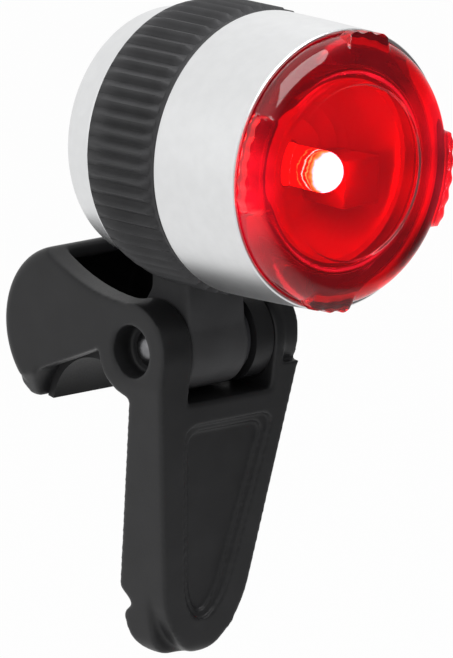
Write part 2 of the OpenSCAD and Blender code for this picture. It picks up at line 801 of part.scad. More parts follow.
// Satin aluminium barrel that holds the lens
module front_barrel() color([0.83, 0.84, 0.85]) on_axis() {
    bulge = [for (i = [0:8])
        let (t = i / 8)
        [barrel_back_r - (barrel_back_r - barrel_front_r) * t * t,
         collar_front + (barrel_len - barrel_chamfer) * t]];
    groove_r = skirt_r + bayonet_h + bayonet_gap;
    mouth_r = lens_r + bayonet_gap;
    spigot_r = collar_bore_r - nest_gap;
    difference() {
        rotate_extrude() polygon(concat(bulge,
            [[barrel_front_r - barrel_chamfer, barrel_front], [mouth_r, barrel_front],
             [mouth_r, seat_plane], [barrel_bore_r, seat_plane],
             [barrel_bore_r, board_front + ledge_len], [ledge_r, board_front + ledge_len],
             [ledge_r, board_front], [barrel_bore_r, board_front],
             [barrel_bore_r, spigot_end], [spigot_r, spigot_end], [spigot_r, collar_front]]));
        band(barrel_bore_r - over, groove_r, lens_bayonet - bayonet_gap, lens_bayonet + bayonet_w + bayonet_gap);
        bayonet(barrel_bore_r - over, groove_r - 0.05, lens_bayonet, seat_plane + over, bayonet_angle + 4, 60);
    }
}

// Clear red lens with its skirt, bayonet lugs and four grip lugs
module lens() color([0.8, 0.05, 0.06, 0.6]) on_axis() {
    shoulder = [for (a = [0:15:90]) [lens_r - lens_rise * (1 - cos(a)), barrel_front + lens_rise * sin(a)]];
    inside = [for (a = [90:-15:0]) [skirt_bore_r - lens_rise * 0.7 * (1 - cos(a)),
                                    seat_plane + (lens_rise + lens_seat - lens_t) * sin(a)]];
    disc_plane = lens_front - lens_disc_depth;
    gland = [lens_r - 1, lens_r - 0.2];
    difference() {
        union() {
            rotate_extrude() polygon(concat([[skirt_bore_r, skirt_end], [skirt_r, skirt_end],
                [skirt_r, seat_plane], [lens_r, seat_plane]], shoulder,
                [[lens_disc_r + 0.4, lens_front], [lens_disc_r, disc_plane], [0, disc_plane],
                 [0, lens_front - lens_t]], inside, [[skirt_bore_r, seat_plane]]));
            bayonet(skirt_bore_r + 0.5, skirt_r + bayonet_h, lens_bayonet, lens_bayonet + bayonet_w,
                    bayonet_angle, 0);
            for (i = [0:3]) grip_lug(90 * i + grip_turn, i % 2 == 0 ? grip_side : grip_top);
        }
        band(gland[0], gland[1], seat_plane - over, seat_plane + 0.7);
    }
}

// Grip lug on the lens rim, at an angle round the lamp axis
module grip_lug(turn, half_angle) {
    root = barrel_front + 0.3;
    crest = barrel_front + lens_rise * 0.75;
    rotate([0, 0, turn - half_angle]) rotate_extrude(angle = 2 * half_angle)
        polygon([[lens_r - 1.8, root], [grip_r - 0.3, root], [grip_r, root + 0.3], [grip_r, crest - 1],
                 [grip_r - 0.3, crest - 0.4], [grip_r - 1, crest], [lens_r - 1.8, crest]]);
}

// Seal ring under the lens flange
module front_seal() color([0.1, 0.1, 0.1]) on_axis() {
    rotate_extrude() translate([lens_r - 0.6, seat_plane + lens_seal_r + nest_gap / 2]) circle(lens_seal_r);
}

// Contact leaf on the lens skirt, which slides over the board as the lens turns
wiper_r = [skirt_bore_r - 0.2, skirt_bore_r + 0.5];
module switch_wiper() color([0.8, 0.62, 0.3]) on_axis() rotate([0, 0, 200]) {
    foot = board_front + 0.45;
    rotate_extrude(angle = 12) polygon([[wiper_r[0], foot], [wiper_r[1], foot], [wiper_r[1], foot + 0.3],
        [wiper_r[1] - 0.1, foot + 0.3], [wiper_r[1] - 0.1, skirt_end], [wiper_r[1] - 0.4, skirt_end],
        [wiper_r[1] - 0.4, foot + 0.3], [wiper_r[0], foot + 0.3]]);
}

// Copper pads that the contact leaf meets at each end of its turn
module switch_pads() color([0.75, 0.45, 0.25]) on_axis() {
    for (turn = [198, 158])
        rotate([0, 0, turn]) rotate_extrude(angle = 16)
            translate([wiper_r[0], board_front]) square([wiper_r[1] - wiper_r[0], 0.15]);
}

// Round circuit board that carries the light unit
module led_board() color([0.05, 0.3, 0.12]) on_axis() {
    difference() {
        translate([0, 0, board_back]) cylinder(r = holder_r - 0.2, h = board_t);
        screw_places() translate([0, 0, board_back - over]) cylinder(r = screw_head_r * 0.55, h = board_t + 2 * over);
    }
}

// Three places round the board, away from the square block
module screw_places() {
    for (turn = [90, 180, 270]) rotate([0, 0, turn]) translate([screw_ring_r, 0, 0]) children();
}

// Screws that hold the board to the battery holder
module board_screws() color([0.7, 0.7, 0.72]) on_axis() screw_places() {
    translate([0, 0, board_back - holder_floor * 0.7])
        cylinder(r = screw_head_r * 0.5, h = board_t + holder_floor * 0.7);
    translate([0, 0, board_front]) cylinder(r = screw_head_r, h = 1);
}

// Bright bowl round the diode
module reflector() color([0.9, 0.9, 0.9]) on_axis() {
    bowl = [for (i = [0:8])
        let (t = i / 8)
        [floor_r + (reflector_r - reflector_t - floor_r) * sqrt(t), board_front + reflector_t + (reflector_h - reflector_t) * t]];
    outside = [for (i = [8:-1:0]) [bowl[i].x + reflector_t, bowl[i].y]];
    difference() {
        rotate_extrude() polygon(concat([[0, board_front], [0, board_front + reflector_t]], bowl, outside,
            [[floor_r + reflector_t, board_front]]));
        translate([led_x, led_y, board_front - over]) cylinder(r = led_r + 0.5, h = reflector_h);
        translate([block_x, block_y, board_front + reflector_h / 2])
            cube([block_side + 2 * nest_gap, block_side + 2 * nest_gap, reflector_h + 2 * over], center = true);
    }
}

// Light-emitting diode with a domed end and a flange
module led() color([1, 0.85, 0.8]) on_axis() translate([led_x, led_y, board_front]) {
    cylinder(r = led_r + 0.2, h = 1);
    cylinder(r = led_r, h = led_len - led_r);
    translate([0, 0, led_len - led_r]) sphere(led_r);
}

// Square dark block beside the diode
module square_block() color([0.12, 0.05, 0.05]) on_axis()
    translate([block_x - block_side / 2, block_y - block_side / 2, board_front])
        cube([block_side, block_side, block_len]);

// Plastic cup that holds the coin cells
module battery_holder() color([0.25, 0.25, 0.27]) on_axis() {
    difference() {
        translate([0, 0, holder_back]) cylinder(r = holder_r, h = board_back - holder_back);
        translate([0, 0, holder_back - over]) cylinder(r = cell_r + cell_gap, h = cells_front - holder_back + over);
        cylinder(r = plus_r + nest_gap, h = far);
        screw_places() cylinder(r = screw_head_r * 0.5 + nest_gap, h = far);
    }
}

// Coin cell with its stepped minus face to the rear
module coin_cell(back) color([0.75, 0.76, 0.77]) on_axis() {
    rotate_extrude() polygon([[0, back], [cell_r - 1.2, back], [cell_r - 1, back + 0.4], [cell_r, back + 0.6],
        [cell_r, back + cell_t - nest_gap], [0, back + cell_t - nest_gap]]);
}
module rear_cell() coin_cell(cells_back);
module front_cell() coin_cell(cells_back + cell_t);

// Brass stud between the front cell and the board
module plus_contact() color([0.8, 0.62, 0.3]) on_axis()
    translate([0, 0, cells_front]) cylinder(r = plus_r, h = holder_floor);

// Satin aluminium cap that closes the rear
module rear_cap() color([0.83, 0.84, 0.85]) on_axis() {
    crown = [for (a = [0:15:90]) [(cap_r - 0.9) * (0.72 + 0.28 * cos(a)), cap_edge - cap_crown * 0.8 * sin(a)]];
    seal_groove = -collar_rear + 1;
    difference() {
        union() {
            rotate_extrude() polygon(concat([[cap_bore_r, cap_front], [cap_spigot_r, cap_front],
                [cap_spigot_r, -collar_rear], [cap_r, -collar_rear], [cap_r, -collar_rear - 0.5],
                [cap_r - 0.35, -collar_rear - 0.75]], crown,
                [[0, cap_end], [0, cap_floor], [cap_bore_r - 0.8, cap_floor], [cap_bore_r, cap_floor + 0.8]]));
            bayonet(cap_bore_r + 0.5, cap_spigot_r + bayonet_h, cap_bayonet, cap_bayonet + bayonet_w,
                    bayonet_angle, 0);
        }
        band(cap_spigot_r - 0.85, cap_spigot_r + twist_gap / 2, seal_groove - 0.55, seal_groove + 0.55);
    }
}

// Seal ring round the cap's spigot
module rear_seal() color([0.1, 0.1, 0.1]) on_axis() {
    rotate_extrude() translate([collar_bore_r - cap_seal_r - nest_gap, -collar_rear + 1]) circle(cap_seal_r);
}

// Brass disc on the cap's floor
module contact_disc() color([0.8, 0.62, 0.3]) on_axis()
    translate([0, 0, cap_floor]) cylinder(r = contact_r, h = contact_t);

// Cone-shaped spring between the disc and the rear cell
coil_room = cells_back - cap_floor - contact_t - 0.3;
contact_line = coil_line(coil_big_r, coil_small_r, coil_room - 2 * coil_wire_r, coil_turns);
echo(contact_spring_gap = coil_gap(contact_line, coil_wire_r));
module contact_spring() color([0.78, 0.78, 0.8]) on_axis()
    translate([0, 0, cap_floor + contact_t + coil_wire_r]) coil(contact_line, coil_wire_r);

bracket();
jaw_pad();
hinge_pin();
pin_retainer();
friction_ring();
friction_spring();
friction_washer();
collar();
front_barrel();
led_board();
board_screws();
switch_pads();
reflector();
led();
square_block();
battery_holder();
front_cell();
rear_cell();
plus_contact();
lens();
front_seal();
switch_wiper();
rear_cap();
rear_seal();
contact_disc();
contact_spring();
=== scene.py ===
"""Looks of a bike rear light: a round aluminium lamp with a red twist lens on a black hooked bracket."""

import json
import logging
import math
from dataclasses import dataclass
from enum import Enum
from typing import Callable, Optional, Sequence

import bmesh
import bpy
import numpy as np
from mathutils import Matrix, Vector


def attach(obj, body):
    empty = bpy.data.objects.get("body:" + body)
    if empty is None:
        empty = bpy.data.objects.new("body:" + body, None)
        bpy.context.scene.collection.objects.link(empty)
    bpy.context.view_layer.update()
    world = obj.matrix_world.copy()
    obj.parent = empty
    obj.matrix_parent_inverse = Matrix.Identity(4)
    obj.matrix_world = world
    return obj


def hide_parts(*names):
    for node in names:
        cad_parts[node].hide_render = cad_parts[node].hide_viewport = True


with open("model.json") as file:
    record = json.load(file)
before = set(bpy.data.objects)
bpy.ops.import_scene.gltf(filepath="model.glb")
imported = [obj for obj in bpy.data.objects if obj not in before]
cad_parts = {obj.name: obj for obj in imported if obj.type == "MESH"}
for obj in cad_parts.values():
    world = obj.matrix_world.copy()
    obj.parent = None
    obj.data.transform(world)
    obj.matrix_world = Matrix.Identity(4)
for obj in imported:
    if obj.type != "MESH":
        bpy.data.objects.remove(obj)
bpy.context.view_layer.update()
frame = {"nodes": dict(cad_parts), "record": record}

log = logging.getLogger("rear_light")

MM = 0.001
Point = tuple[float, float]
Colour = tuple[float, float, float]

# Pixels of the photograph that the camera is set by
IMAGE_W = 453
IMAGE_H = 658
PIN_U = 199.3
PIN_V = 338.8
PX_PER_MM = 8.6


# Meshes: distance in m under which points merge, radius in mm that counts as on the axis, share of the way to
# its neighbours that a point moves in one smoothing pass, and share of a side that a rounded corner may take
MERGE = 2e-6
ON_AXIS = 1e-6
SMOOTHING = 0.5
CORNER_SHARE = 0.45

# Octaves of the fine and the coarse noise, size of the coarse one in grains, and strength of the bump
FINE_OCTAVES = 3.0
COARSE_OCTAVES = 2.0
CLOUD_GRAINS = 18
BUMP = 0.6

# Levels of the noise between which a finish varies, and the share by which its roughness does
NOISE_LOW = 0.3
NOISE_HIGH = 0.7
ROUGH_SPAN = 0.1

# Turning rings to a grain, and how much they waver
RING_SHARE = 0.3
RING_WAVER = 0.2

# Clearness and refraction of the lens
LENS_CLEARNESS = 0.93
LENS_IOR = 1.49

# Painted glow on the lens's rim, standing in for the diode's light led through the plastic: its colour, the
# distances from the middle between which it rises, in mm, its least share, and the levels of the noise and of
# the light that it varies between
PAINTED_RIM_GLOW = (1.0, 0.012, 0.04)
RIM_FROM = 10.5
RIM_TO = 15.5
RIM_LEAST = 0.05
RIM_PATCH = (0.35, 0.65, 0.35, 1.2)

# Colours of the diode's light and of the yellow edge of its painted white-hot glare, and its strength on the
# pieces round it
LED_RED = (1.0, 0.004, 0.012)
LED_YELLOW = (0.25, 1.0, 0.06)
LED_LIGHT = 39.0

# Brightness at which the diode's painted glare turns yellow and then white, and size and shift of its uneven
# edge in mm
LED_YELLOW_AT = 0.22
LED_CORE_AT = 0.5
LED_PATCH = 1.1
LED_UNEVEN = 1.3

# Brightness along the diode, whose thin bright bands near the flange are painted streaks standing in for its
# reflections: distance in front of the pin in mm, and share of the full glow
LED_GLOW_AND_STREAKS = ((17.0, 0.02), (18.4, 0.02), (18.5, 0.2), (18.65, 0.02), (19.35, 0.03), (19.55, 0.6),
             (19.8, 0.03), (20.2, 0.03), (20.35, 0.3), (20.5, 0.05), (20.6, 0.12), (21.1, 0.3),
             (21.6, 0.9), (23.8, 1.0))


class Wiring:
    """Small builder for the nodes of one tree.

    Args:
        tree: Tree that takes the nodes.
    """

    def __init__(self, tree: bpy.types.NodeTree) -> None:
        """Keeps the tree."""
        self.tree = tree

    def node(self, kind: str, wires: Optional[dict[object, object]] = None,
             **settings: object) -> bpy.types.Node:
        """Adds a node, sets its properties and feeds its inputs.

        Args:
            kind: Type name of the node.
            wires: Sockets or values for its inputs, by the input's name or number.
            settings: Properties of the node.

        Returns:
            The new node.
        """
        made = self.tree.nodes.new(kind)
        for key, value in settings.items():
            setattr(made, key, value)
        for key, source in (wires or {}).items():
            self.link(source, made.inputs[key])
        return made

    def link(self, source: object, target: bpy.types.NodeSocket) -> None:
        """Links a socket to another, or sets a value on it."""
        if isinstance(source, bpy.types.NodeSocket):
            self.tree.links.new(source, target)
        else:
            target.default_value = source

    def maths(self, operation: str, *terms: object) -> bpy.types.NodeSocket:
        """Adds a maths node.

        Args:
            operation: Name of the operation.
            terms: Sockets or numbers that it takes.

        Returns:
            The socket of the result.
        """
        return self.node("ShaderNodeMath", dict(enumerate(terms)), operation=operation).outputs[0]

    def spread(self, value: bpy.types.NodeSocket, start: float, end: float, low: float, high: float,
               kind: str = "LINEAR") -> bpy.types.NodeSocket:
        """Maps a span of values to another span, and holds them inside it.

        Args:
            value: Socket of the value.
            start: Value that gives low.
            end: Value that gives high.
            low: Result at the start.
            high: Result at the end.
            kind: Interpolation between them.

        Returns:
            The socket of the result.
        """
        wires = {"Value": value, "From Min": start, "From Max": end, "To Min": low, "To Max": high}
        return self.node("ShaderNodeMapRange", wires, interpolation_type=kind).outputs["Result"]

    def ramp(self, value: bpy.types.NodeSocket,
             stops: Sequence[tuple[float, Colour]]) -> bpy.types.NodeSocket:
        """Maps a value to colours.

        Args:
            value: Socket of the value.
            stops: Position and colour of each stop, in order.

        Returns:
            The socket of the colour.
        """
        made = self.node("ShaderNodeValToRGB", {"Fac": value})
        elements = made.color_ramp.elements
        for k, (at, colour) in enumerate(stops):
            stop = elements[k] if k < 2 else elements.new(at)
            stop.position = at
            stop.color = (*colour, 1)
        return made.outputs["Color"]


class Surface(Enum):
    """Kinds of surface that a finish can have."""

    GRAINED = "grained"
    TURNED = "turned"
    CLEAR = "clear"
    LIT = "lit"


@dataclass(frozen=True)
class Finish:
    """Colour and surface of one material slot.

    Args:
        slot: Name of the record's material slot.
        colour: Linear base colour.
        rough: Mean roughness.
        surface: Kind of surface.
        metal: Metallic share.
        specular: Specular level of a dielectric.
        grain: Size of the grain in mm.
        depth: Height of the grain in mm.
        mottle: Share by which the colour varies.
        glow: Strength of the emission.
    """

    slot: str
    colour: Colour
    rough: float
    surface: Surface = Surface.GRAINED
    metal: float = 0.0
    specular: float = 0.5
    grain: float = 0.3
    depth: float = 0.01
    mottle: float = 0.12
    glow: float = 0.0

    def material(self) -> bpy.types.Material:
        """Builds the node material of this finish.

        Returns:
            The new material, named after its slot.
        """
        made = bpy.data.materials.new(self.slot)
        made.use_nodes = True
        wire = Wiring(made.node_tree)
        shader = made.node_tree.nodes["Principled BSDF"]
        shader.inputs["Metallic"].default_value = self.metal
        shader.inputs["Specular IOR Level"].default_value = self.specular
        place = wire.node("ShaderNodeTexCoord").outputs["Object"]
        grain = self._noise(wire, place, self.grain, FINE_OCTAVES)
        cloud = self._noise(wire, place, self.grain * CLOUD_GRAINS, COARSE_OCTAVES)
        self._colour(wire, shader, cloud)
        rough = wire.spread(grain, NOISE_LOW, NOISE_HIGH, self.rough * (1 - ROUGH_SPAN),
                            min(1.0, self.rough * (1 + ROUGH_SPAN)))
        wire.link(rough, shader.inputs["Roughness"])
        height = self._rings(wire, place) if self.surface is Surface.TURNED else grain
        bump = wire.node("ShaderNodeBump", {"Strength": BUMP, "Distance": self.depth * MM, "Height": height})
        wire.link(bump.outputs["Normal"], shader.inputs["Normal"])
        if self.surface is Surface.CLEAR:
            shader.inputs["Transmission Weight"].default_value = LENS_CLEARNESS
            shader.inputs["IOR"].default_value = LENS_IOR
            self._painted_rim_glow(wire, shader, place, cloud)
        if self.surface is Surface.LIT:
            self._tip_glow(wire, shader, place)
        return made

    def _noise(self, wire: Wiring, place: bpy.types.NodeSocket, size: float,
               octaves: float) -> bpy.types.NodeSocket:
        """Adds a noise texture on object coordinates.

        Args:
            wire: Builder of the material's nodes.
            place: Socket of the object coordinates.
            size: Size of a grain in mm.
            octaves: Number of octaves.

        Returns:
            The socket of the noise.
        """
        wires = {"Vector": place, "Scale": 1 / (size * MM), "Detail": octaves}
        return wire.node("ShaderNodeTexNoise", wires).outputs["Fac"]

    def _colour(self, wire: Wiring, shader: bpy.types.Node, cloud: bpy.types.NodeSocket) -> None:
        """Varies the base colour slowly over the surface, or sets an even one.

        Args:
            wire: Builder of the material's nodes.
            shader: Principled shader.
            cloud: Socket of the coarse noise.
        """
        if not self.mottle:
            shader.inputs["Base Color"].default_value = (*self.colour, 1)
            return
        low = tuple(c * (1 - self.mottle) for c in self.colour)
        high = tuple(min(1.0, c * (1 + self.mottle)) for c in self.colour)
        wire.link(wire.ramp(cloud, ((NOISE_LOW, low), (NOISE_HIGH, high))), shader.inputs["Base Color"])

    def _rings(self, wire: Wiring, place: bpy.types.NodeSocket) -> bpy.types.NodeSocket:
        """Adds the fine turning rings about the lamp axis.

        Args:
            wire: Builder of the material's nodes.
            place: Socket of the object coordinates.

        Returns:
            The socket with the rings' height.
        """
        centred = wire.node("ShaderNodeMapping", {"Vector": place, "Location": (0, 0, -LAMP.axis_z * MM)})
        scale = RING_SHARE / (self.grain * MM)
        wires = {"Vector": centred.outputs["Vector"], "Scale": scale, "Distortion": RING_WAVER}
        return wire.node("ShaderNodeTexWave", wires, wave_type="RINGS", rings_direction="Y").outputs["Fac"]

    def _painted_rim_glow(self, wire: Wiring, shader: bpy.types.Node, place: bpy.types.NodeSocket,
                   cloud: bpy.types.NodeSocket) -> None:
        """Paints glow on the lens's rim, most at its two sides, standing in for the diode's light led through
        the plastic.

        Args:
            wire: Builder of the material's nodes.
            shader: Principled shader.
            place: Socket of the object coordinates.
            cloud: Socket of the coarse noise that breaks up the painted glow.
        """
        parts = wire.node("ShaderNodeSeparateXYZ", {0: place})
        side = wire.maths("ABSOLUTE", parts.outputs["X"])
        # Painted glow, strongest towards the lens's two sides and broken up in patches
        rim = wire.spread(side, RIM_FROM * MM, RIM_TO * MM, RIM_LEAST * self.glow, self.glow)
        patch = wire.spread(cloud, *RIM_PATCH)
        wire.link(wire.maths("MULTIPLY", rim, patch), shader.inputs["Emission Strength"])
        shader.inputs["Emission Color"].default_value = (*PAINTED_RIM_GLOW, 1)

    def _tip_glow(self, wire: Wiring, shader: bpy.types.Node, place: bpy.types.NodeSocket) -> None:
        """Lights the diode: red as light, with painted glare, white-hot at its tip with a yellow edge, where
        it is seen through the lens, and painted streaks near its flange.

        Args:
            wire: Builder of the material's nodes.
            shader: Principled shader.
            place: Socket of the object coordinates.
        """
        parts = wire.node("ShaderNodeSeparateXYZ", {0: place})
        first, last = LED_GLOW_AND_STREAKS[0][0], LED_GLOW_AND_STREAKS[-1][0]
        patch = self._noise(wire, place, LED_PATCH, COARSE_OCTAVES)
        shifted = wire.maths("MULTIPLY_ADD", patch, LED_UNEVEN * MM, parts.outputs["Y"])
        along = wire.spread(shifted, (LAMP.pin_y - first) * MM, (LAMP.pin_y - last) * MM, 0.0, 1.0)
        stops = [((ahead - first) / (last - first), (share, share, share)) for ahead, share in LED_GLOW_AND_STREAKS]
        glow_and_streaks = wire.ramp(along, stops)
        tint = wire.ramp(glow_and_streaks, ((0.0, LED_RED), (LED_YELLOW_AT, LED_YELLOW), (LED_CORE_AT, self.colour)))
        # Rays through the lens see the painted glare; all other rays get the diode's red light
        through = wire.node("ShaderNodeLightPath").outputs["Is Transmission Ray"]
        hue = wire.node("ShaderNodeMixRGB", {"Fac": through, "Color1": (*LED_RED, 1), "Color2": tint})
        power = wire.spread(through, 0.0, 1.0, LED_LIGHT, self.glow)
        wire.link(hue.outputs["Color"], shader.inputs["Emission Color"])
        wire.link(wire.maths("MULTIPLY", glow_and_streaks, power), shader.inputs["Emission Strength"])


FINISHES = (
    Finish("black_plastic", (0.017, 0.017, 0.018), 0.42, specular=0.25, grain=0.22, depth=0.012),
    Finish("collar_plastic", (0.05, 0.05, 0.052), 0.55, specular=0.16, grain=0.25, depth=0.006),
    Finish("pad_rubber", (0.018, 0.018, 0.019), 0.55, specular=0.25, grain=0.2, depth=0.012),
    Finish("pin_steel", (0.14, 0.14, 0.145), 0.34, metal=1.0, grain=0.35, depth=0.03, mottle=0.5),
    Finish("spring_steel", (0.55, 0.56, 0.58), 0.3, metal=1.0, grain=0.1, depth=0.003),
    Finish("washer_plastic", (0.05, 0.05, 0.055), 0.5, specular=0.3, grain=0.3),
    Finish("satin_aluminium", (0.74, 0.745, 0.75), 0.38, metal=1.0, grain=0.09, depth=0.006, mottle=0.02),
    # The lens's glow is painted light on its rim
    Finish("lens_red", (0.86, 0.008, 0.026), 0.03, Surface.CLEAR, grain=0.4, depth=0.004, mottle=0.05,
           glow=0.42),
    Finish("bright_metal", (0.85, 0.83, 0.83), 0.32, metal=0.5, grain=1.6, depth=0.05),
    # The diode's colour is that of its painted glare, which the red lens turns white
    Finish("led_clear", (0.1, 1.0, 0.4), 0.1, Surface.LIT, glow=220.0, mottle=0.0),
    Finish("block_dark", (0.4, 0.03, 0.03), 0.35, grain=0.3),
    Finish("board", (0.03, 0.16, 0.06), 0.35, grain=0.8, depth=0.01, mottle=0.25),
    Finish("cell_steel", (0.68, 0.68, 0.69), 0.25, Surface.TURNED, metal=1.0, grain=0.4, depth=0.004),
    Finish("contact_brass", (0.75, 0.52, 0.22), 0.3, metal=1.0, grain=0.2, depth=0.004),
)


@dataclass
class LampFrame:
    """Where the lamp's own axes lie in the shared frame, in mm.

    Args:
        pin_y: Place of the hinge pin along Y.
        pin_z: Height of the hinge pin.
        rise: Height of the lamp axis above the pin.
    """

    pin_y: float = -9.8
    pin_z: float = 10.3
    rise: float = 23.7

    @property
    def axis_z(self) -> float:
        """Height of the lamp axis."""
        return self.pin_z + self.rise

    def matrix(self) -> Matrix:
        """Matrix from lamp axes in mm, with Z forward and Y up, to the shared frame in m."""
        turn = Matrix.Rotation(math.pi / 2, 4, "X")
        return Matrix.Scale(MM, 4) @ Matrix.Translation((0, self.pin_y, self.axis_z)) @ turn


LAMP = LampFrame()


def add_mesh(name: str, verts: Sequence[Sequence[float]], faces: Sequence[Sequence[int]]) -> bpy.types.Object:
    """Makes a mesh object from points and faces.

    Args:
        name: Name of the piece.
        verts: Points, in m.
        faces: Corner numbers of each face.

    Returns:
        The new object, linked to the scene.
    """
    mesh = bpy.data.meshes.new(name)
    mesh.from_pydata([tuple(v) for v in verts], [], [tuple(f) for f in faces])
    mesh.update()
    made = bpy.data.objects.new(name, mesh)
    bpy.context.scene.collection.objects.link(made)
    return made


def bake(piece: bpy.types.Object) -> None:
    """Turns a piece's modifiers into its plain mesh.

    Args:
        piece: Object whose modifiers are applied and removed.
    """
    bpy.context.view_layer.update()
    seen = piece.evaluated_get(bpy.context.evaluated_depsgraph_get())
    made = bpy.data.meshes.new_from_object(seen)
    old = piece.data
    piece.modifiers.clear()
    piece.data = made
    bpy.data.meshes.remove(old)


def smooth(piece: bpy.types.Object, angle: float = 30.0) -> None:
    """Shades a piece smooth, with sharp edges past an angle.

    Args:
        piece: Object to shade.
        angle: Angle in degrees past which an edge stays sharp.
    """
    mesh = piece.data
    mesh.shade_smooth()
    mesh.set_sharp_from_angle(angle=math.radians(angle))


def cad_copy(node: str, name: str) -> bpy.types.Object:
    """Copies a CAD node's mesh into a new piece, with its doubles merged.

    Args:
        node: CAD node.
        name: Name of the piece.

    Returns:
        The new object.
    """
    work = bmesh.new()
    work.from_mesh(frame["nodes"][node].data)
    bmesh.ops.remove_doubles(work, verts=work.verts, dist=MERGE)
    mesh = bpy.data.meshes.new(name)
    work.to_mesh(mesh)
    work.free()
    made = bpy.data.objects.new(name, mesh)
    bpy.context.scene.collection.objects.link(made)
    return made


def soften(piece: bpy.types.Object, voxel: float, passes: int, keep: float,
           ease: Optional[Callable[[np.ndarray], np.ndarray]] = None) -> None:
    """Gives a closed piece in mm the rounded edges of a moulding.

    Args:
        piece: Object whose mesh is in mm.
        voxel: Size of the working grid.
        passes: Number of smoothing passes.
        keep: Share of the triangles that is kept.
        ease: Gives the share of the smoothing that each point takes.
    """
    grid = piece.modifiers.new("grid", "REMESH")
    grid.mode = "VOXEL"
    grid.voxel_size = voxel
    bake(piece)
    mesh = piece.data
    count = len(mesh.vertices)
    flat = np.empty(count * 3, dtype=np.float32)
    mesh.vertices.foreach_get("co", flat)
    at = flat.reshape(-1, 3).astype(np.float64)
    ends = np.empty(len(mesh.edges) * 2, dtype=np.int32)
    mesh.edges.foreach_get("vertices", ends)
    here, there = ends[0::2], ends[1::2]
    near = np.maximum(np.bincount(ends, minlength=count), 1)
    share = SMOOTHING * (ease(at) if ease else np.ones(count))
    for _ in range(passes):
        for k in range(3):
            total = np.bincount(here, at[there, k], count) + np.bincount(there, at[here, k], count)
            at[:, k] += share * (total / near - at[:, k])
    mesh.vertices.foreach_set("co", at.astype(np.float32).ravel())
    mesh.update()
    thin = piece.modifiers.new("thin", "DECIMATE")
    thin.ratio = keep
    bake(piece)


def lathe(name: str, section: Sequence[Point], steps: int,
          reach: Optional[Callable[[float, float, float], float]] = None) -> bpy.types.Object:
    """Turns a closed section about the lamp axis.

    Args:
        name: Name of the piece.
        section: Points of radius and distance in front of the pin, in mm, as a closed loop.
        steps: Number of steps round the axis.
        reach: Gives the radius at a radius, a distance and an angle, where the piece isn't round.

    Returns:
        The new object.
    """
    place = LAMP.matrix()
    verts: list[Vector] = []
    rings: list[list[int]] = []
    for r, z in section:
        if r < ON_AXIS:
            rings.append([len(verts)] * steps)
            verts.append(place @ Vector((0, 0, z)))
            continue
        ring = []
        for i in range(steps):
            a = 2 * math.pi * i / steps
            far = reach(r, z, a) if reach else r
            ring.append(len(verts))
            verts.append(place @ Vector((far * math.cos(a), far * math.sin(a), z)))
        rings.append(ring)
    faces: list[list[int]] = []
    for k, ring in enumerate(rings):
        after = rings[(k + 1) % len(rings)]
        for i in range(steps):
            j = (i + 1) % steps
            corners = list(dict.fromkeys((ring[i], ring[j], after[j], after[i])))
            if len(corners) > 2:
                faces.append(corners)
    made = add_mesh(name, verts, faces)
    work = bmesh.new()
    work.from_mesh(made.data)
    bmesh.ops.recalc_face_normals(work, faces=work.faces)
    work.to_mesh(made.data)
    work.free()
    return made


def rounded(section: Sequence[tuple[float, float, float]], steps: int = 5) -> list[Point]:
    """Rounds the corners of a closed section.

    Args:
        section: Points of radius, distance and corner radius, in mm.
        steps: Number of steps in each rounded corner.

    Returns:
        The points of the rounded section.
    """
    made: list[Point] = []
    count = len(section)
    for i, (x, y, r) in enumerate(section):
        here = Vector((x, y))
        if r <= 0:
            made.append((x, y))
            continue
        a = Vector(section[i - 1][:2]) - here
        b = Vector(section[(i + 1) % count][:2]) - here
        cut = min(r, a.length * CORNER_SHARE, b.length * CORNER_SHARE)
        start, end = here + a.normalized() * cut, here + b.normalized() * cut
        for k in range(steps + 1):
            t = k / steps
            p = start * (1 - t) ** 2 + here * 2 * t * (1 - t) + end * t ** 2
            made.append((p.x, p.y))
    return made


class NodeTree(Wiring):
    """Geometry Nodes tree with named inputs.

    Args:
        name: Name of the tree.
    """

    def __init__(self, name: str) -> None:
        """Starts an empty tree with a geometry input and output."""
        super().__init__(bpy.data.node_groups.new(name, "GeometryNodeTree"))
        face = self.tree.interface
        face.new_socket("Geometry", in_out="INPUT", socket_type="NodeSocketGeometry")
        face.new_socket("Geometry", in_out="OUTPUT", socket_type="NodeSocketGeometry")
        self.start = self.node("NodeGroupInput")
        self.end = self.node("NodeGroupOutput")

    def size(self, name: str, kind: str = "NodeSocketFloat") -> None:
        """Adds a named input of one kind of socket."""
        self.tree.interface.new_socket(name, in_out="INPUT", socket_type=kind)

    def run(self, piece: bpy.types.Object, sizes: dict[str, object]) -> None:
        """Runs the tree on a piece and leaves a plain mesh.

        Args:
            piece: Object that takes the tree's result.
            sizes: Values of the named inputs.
        """
        modifier = piece.modifiers.new(self.tree.name, "NODES")
        modifier.node_group = self.tree
        for item in self.tree.interface.items_tree:
            if item.in_out == "INPUT" and item.name in sizes:
                modifier[item.identifier] = sizes[item.name]
        bake(piece)


class Dresser:
    """Keeps the materials and hands finished pieces to the frame."""

    def __init__(self) -> None:
        """Builds every finish."""
        self.materials = {f.slot: f.material() for f in FINISHES}

    def nodes(self) -> None:
        """Gives every CAD node the material of its slot."""
        for row in frame["record"]["subparts"]:
            mesh = frame["nodes"][row["node"]].data
            mesh.materials.clear()
            mesh.materials.append(self.materials[row["material_slot"]])

    def finish(self, piece: bpy.types.Object, slot: str, body: str, *nodes: str) -> None:
        """Gives a piece its material, body and the nodes that it stands for.

        Args:
            piece: Finished object.
            slot: Material slot.
            body: Body that it rides on.
            nodes: CAD nodes that it replaces.
        """
        piece.data.materials.clear()
        piece.data.materials.append(self.materials[slot])
        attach(piece, body)
        if nodes:
            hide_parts(*nodes)
        log.info("%s rides on %s with %d faces", piece.name, body, len(piece.data.polygons))


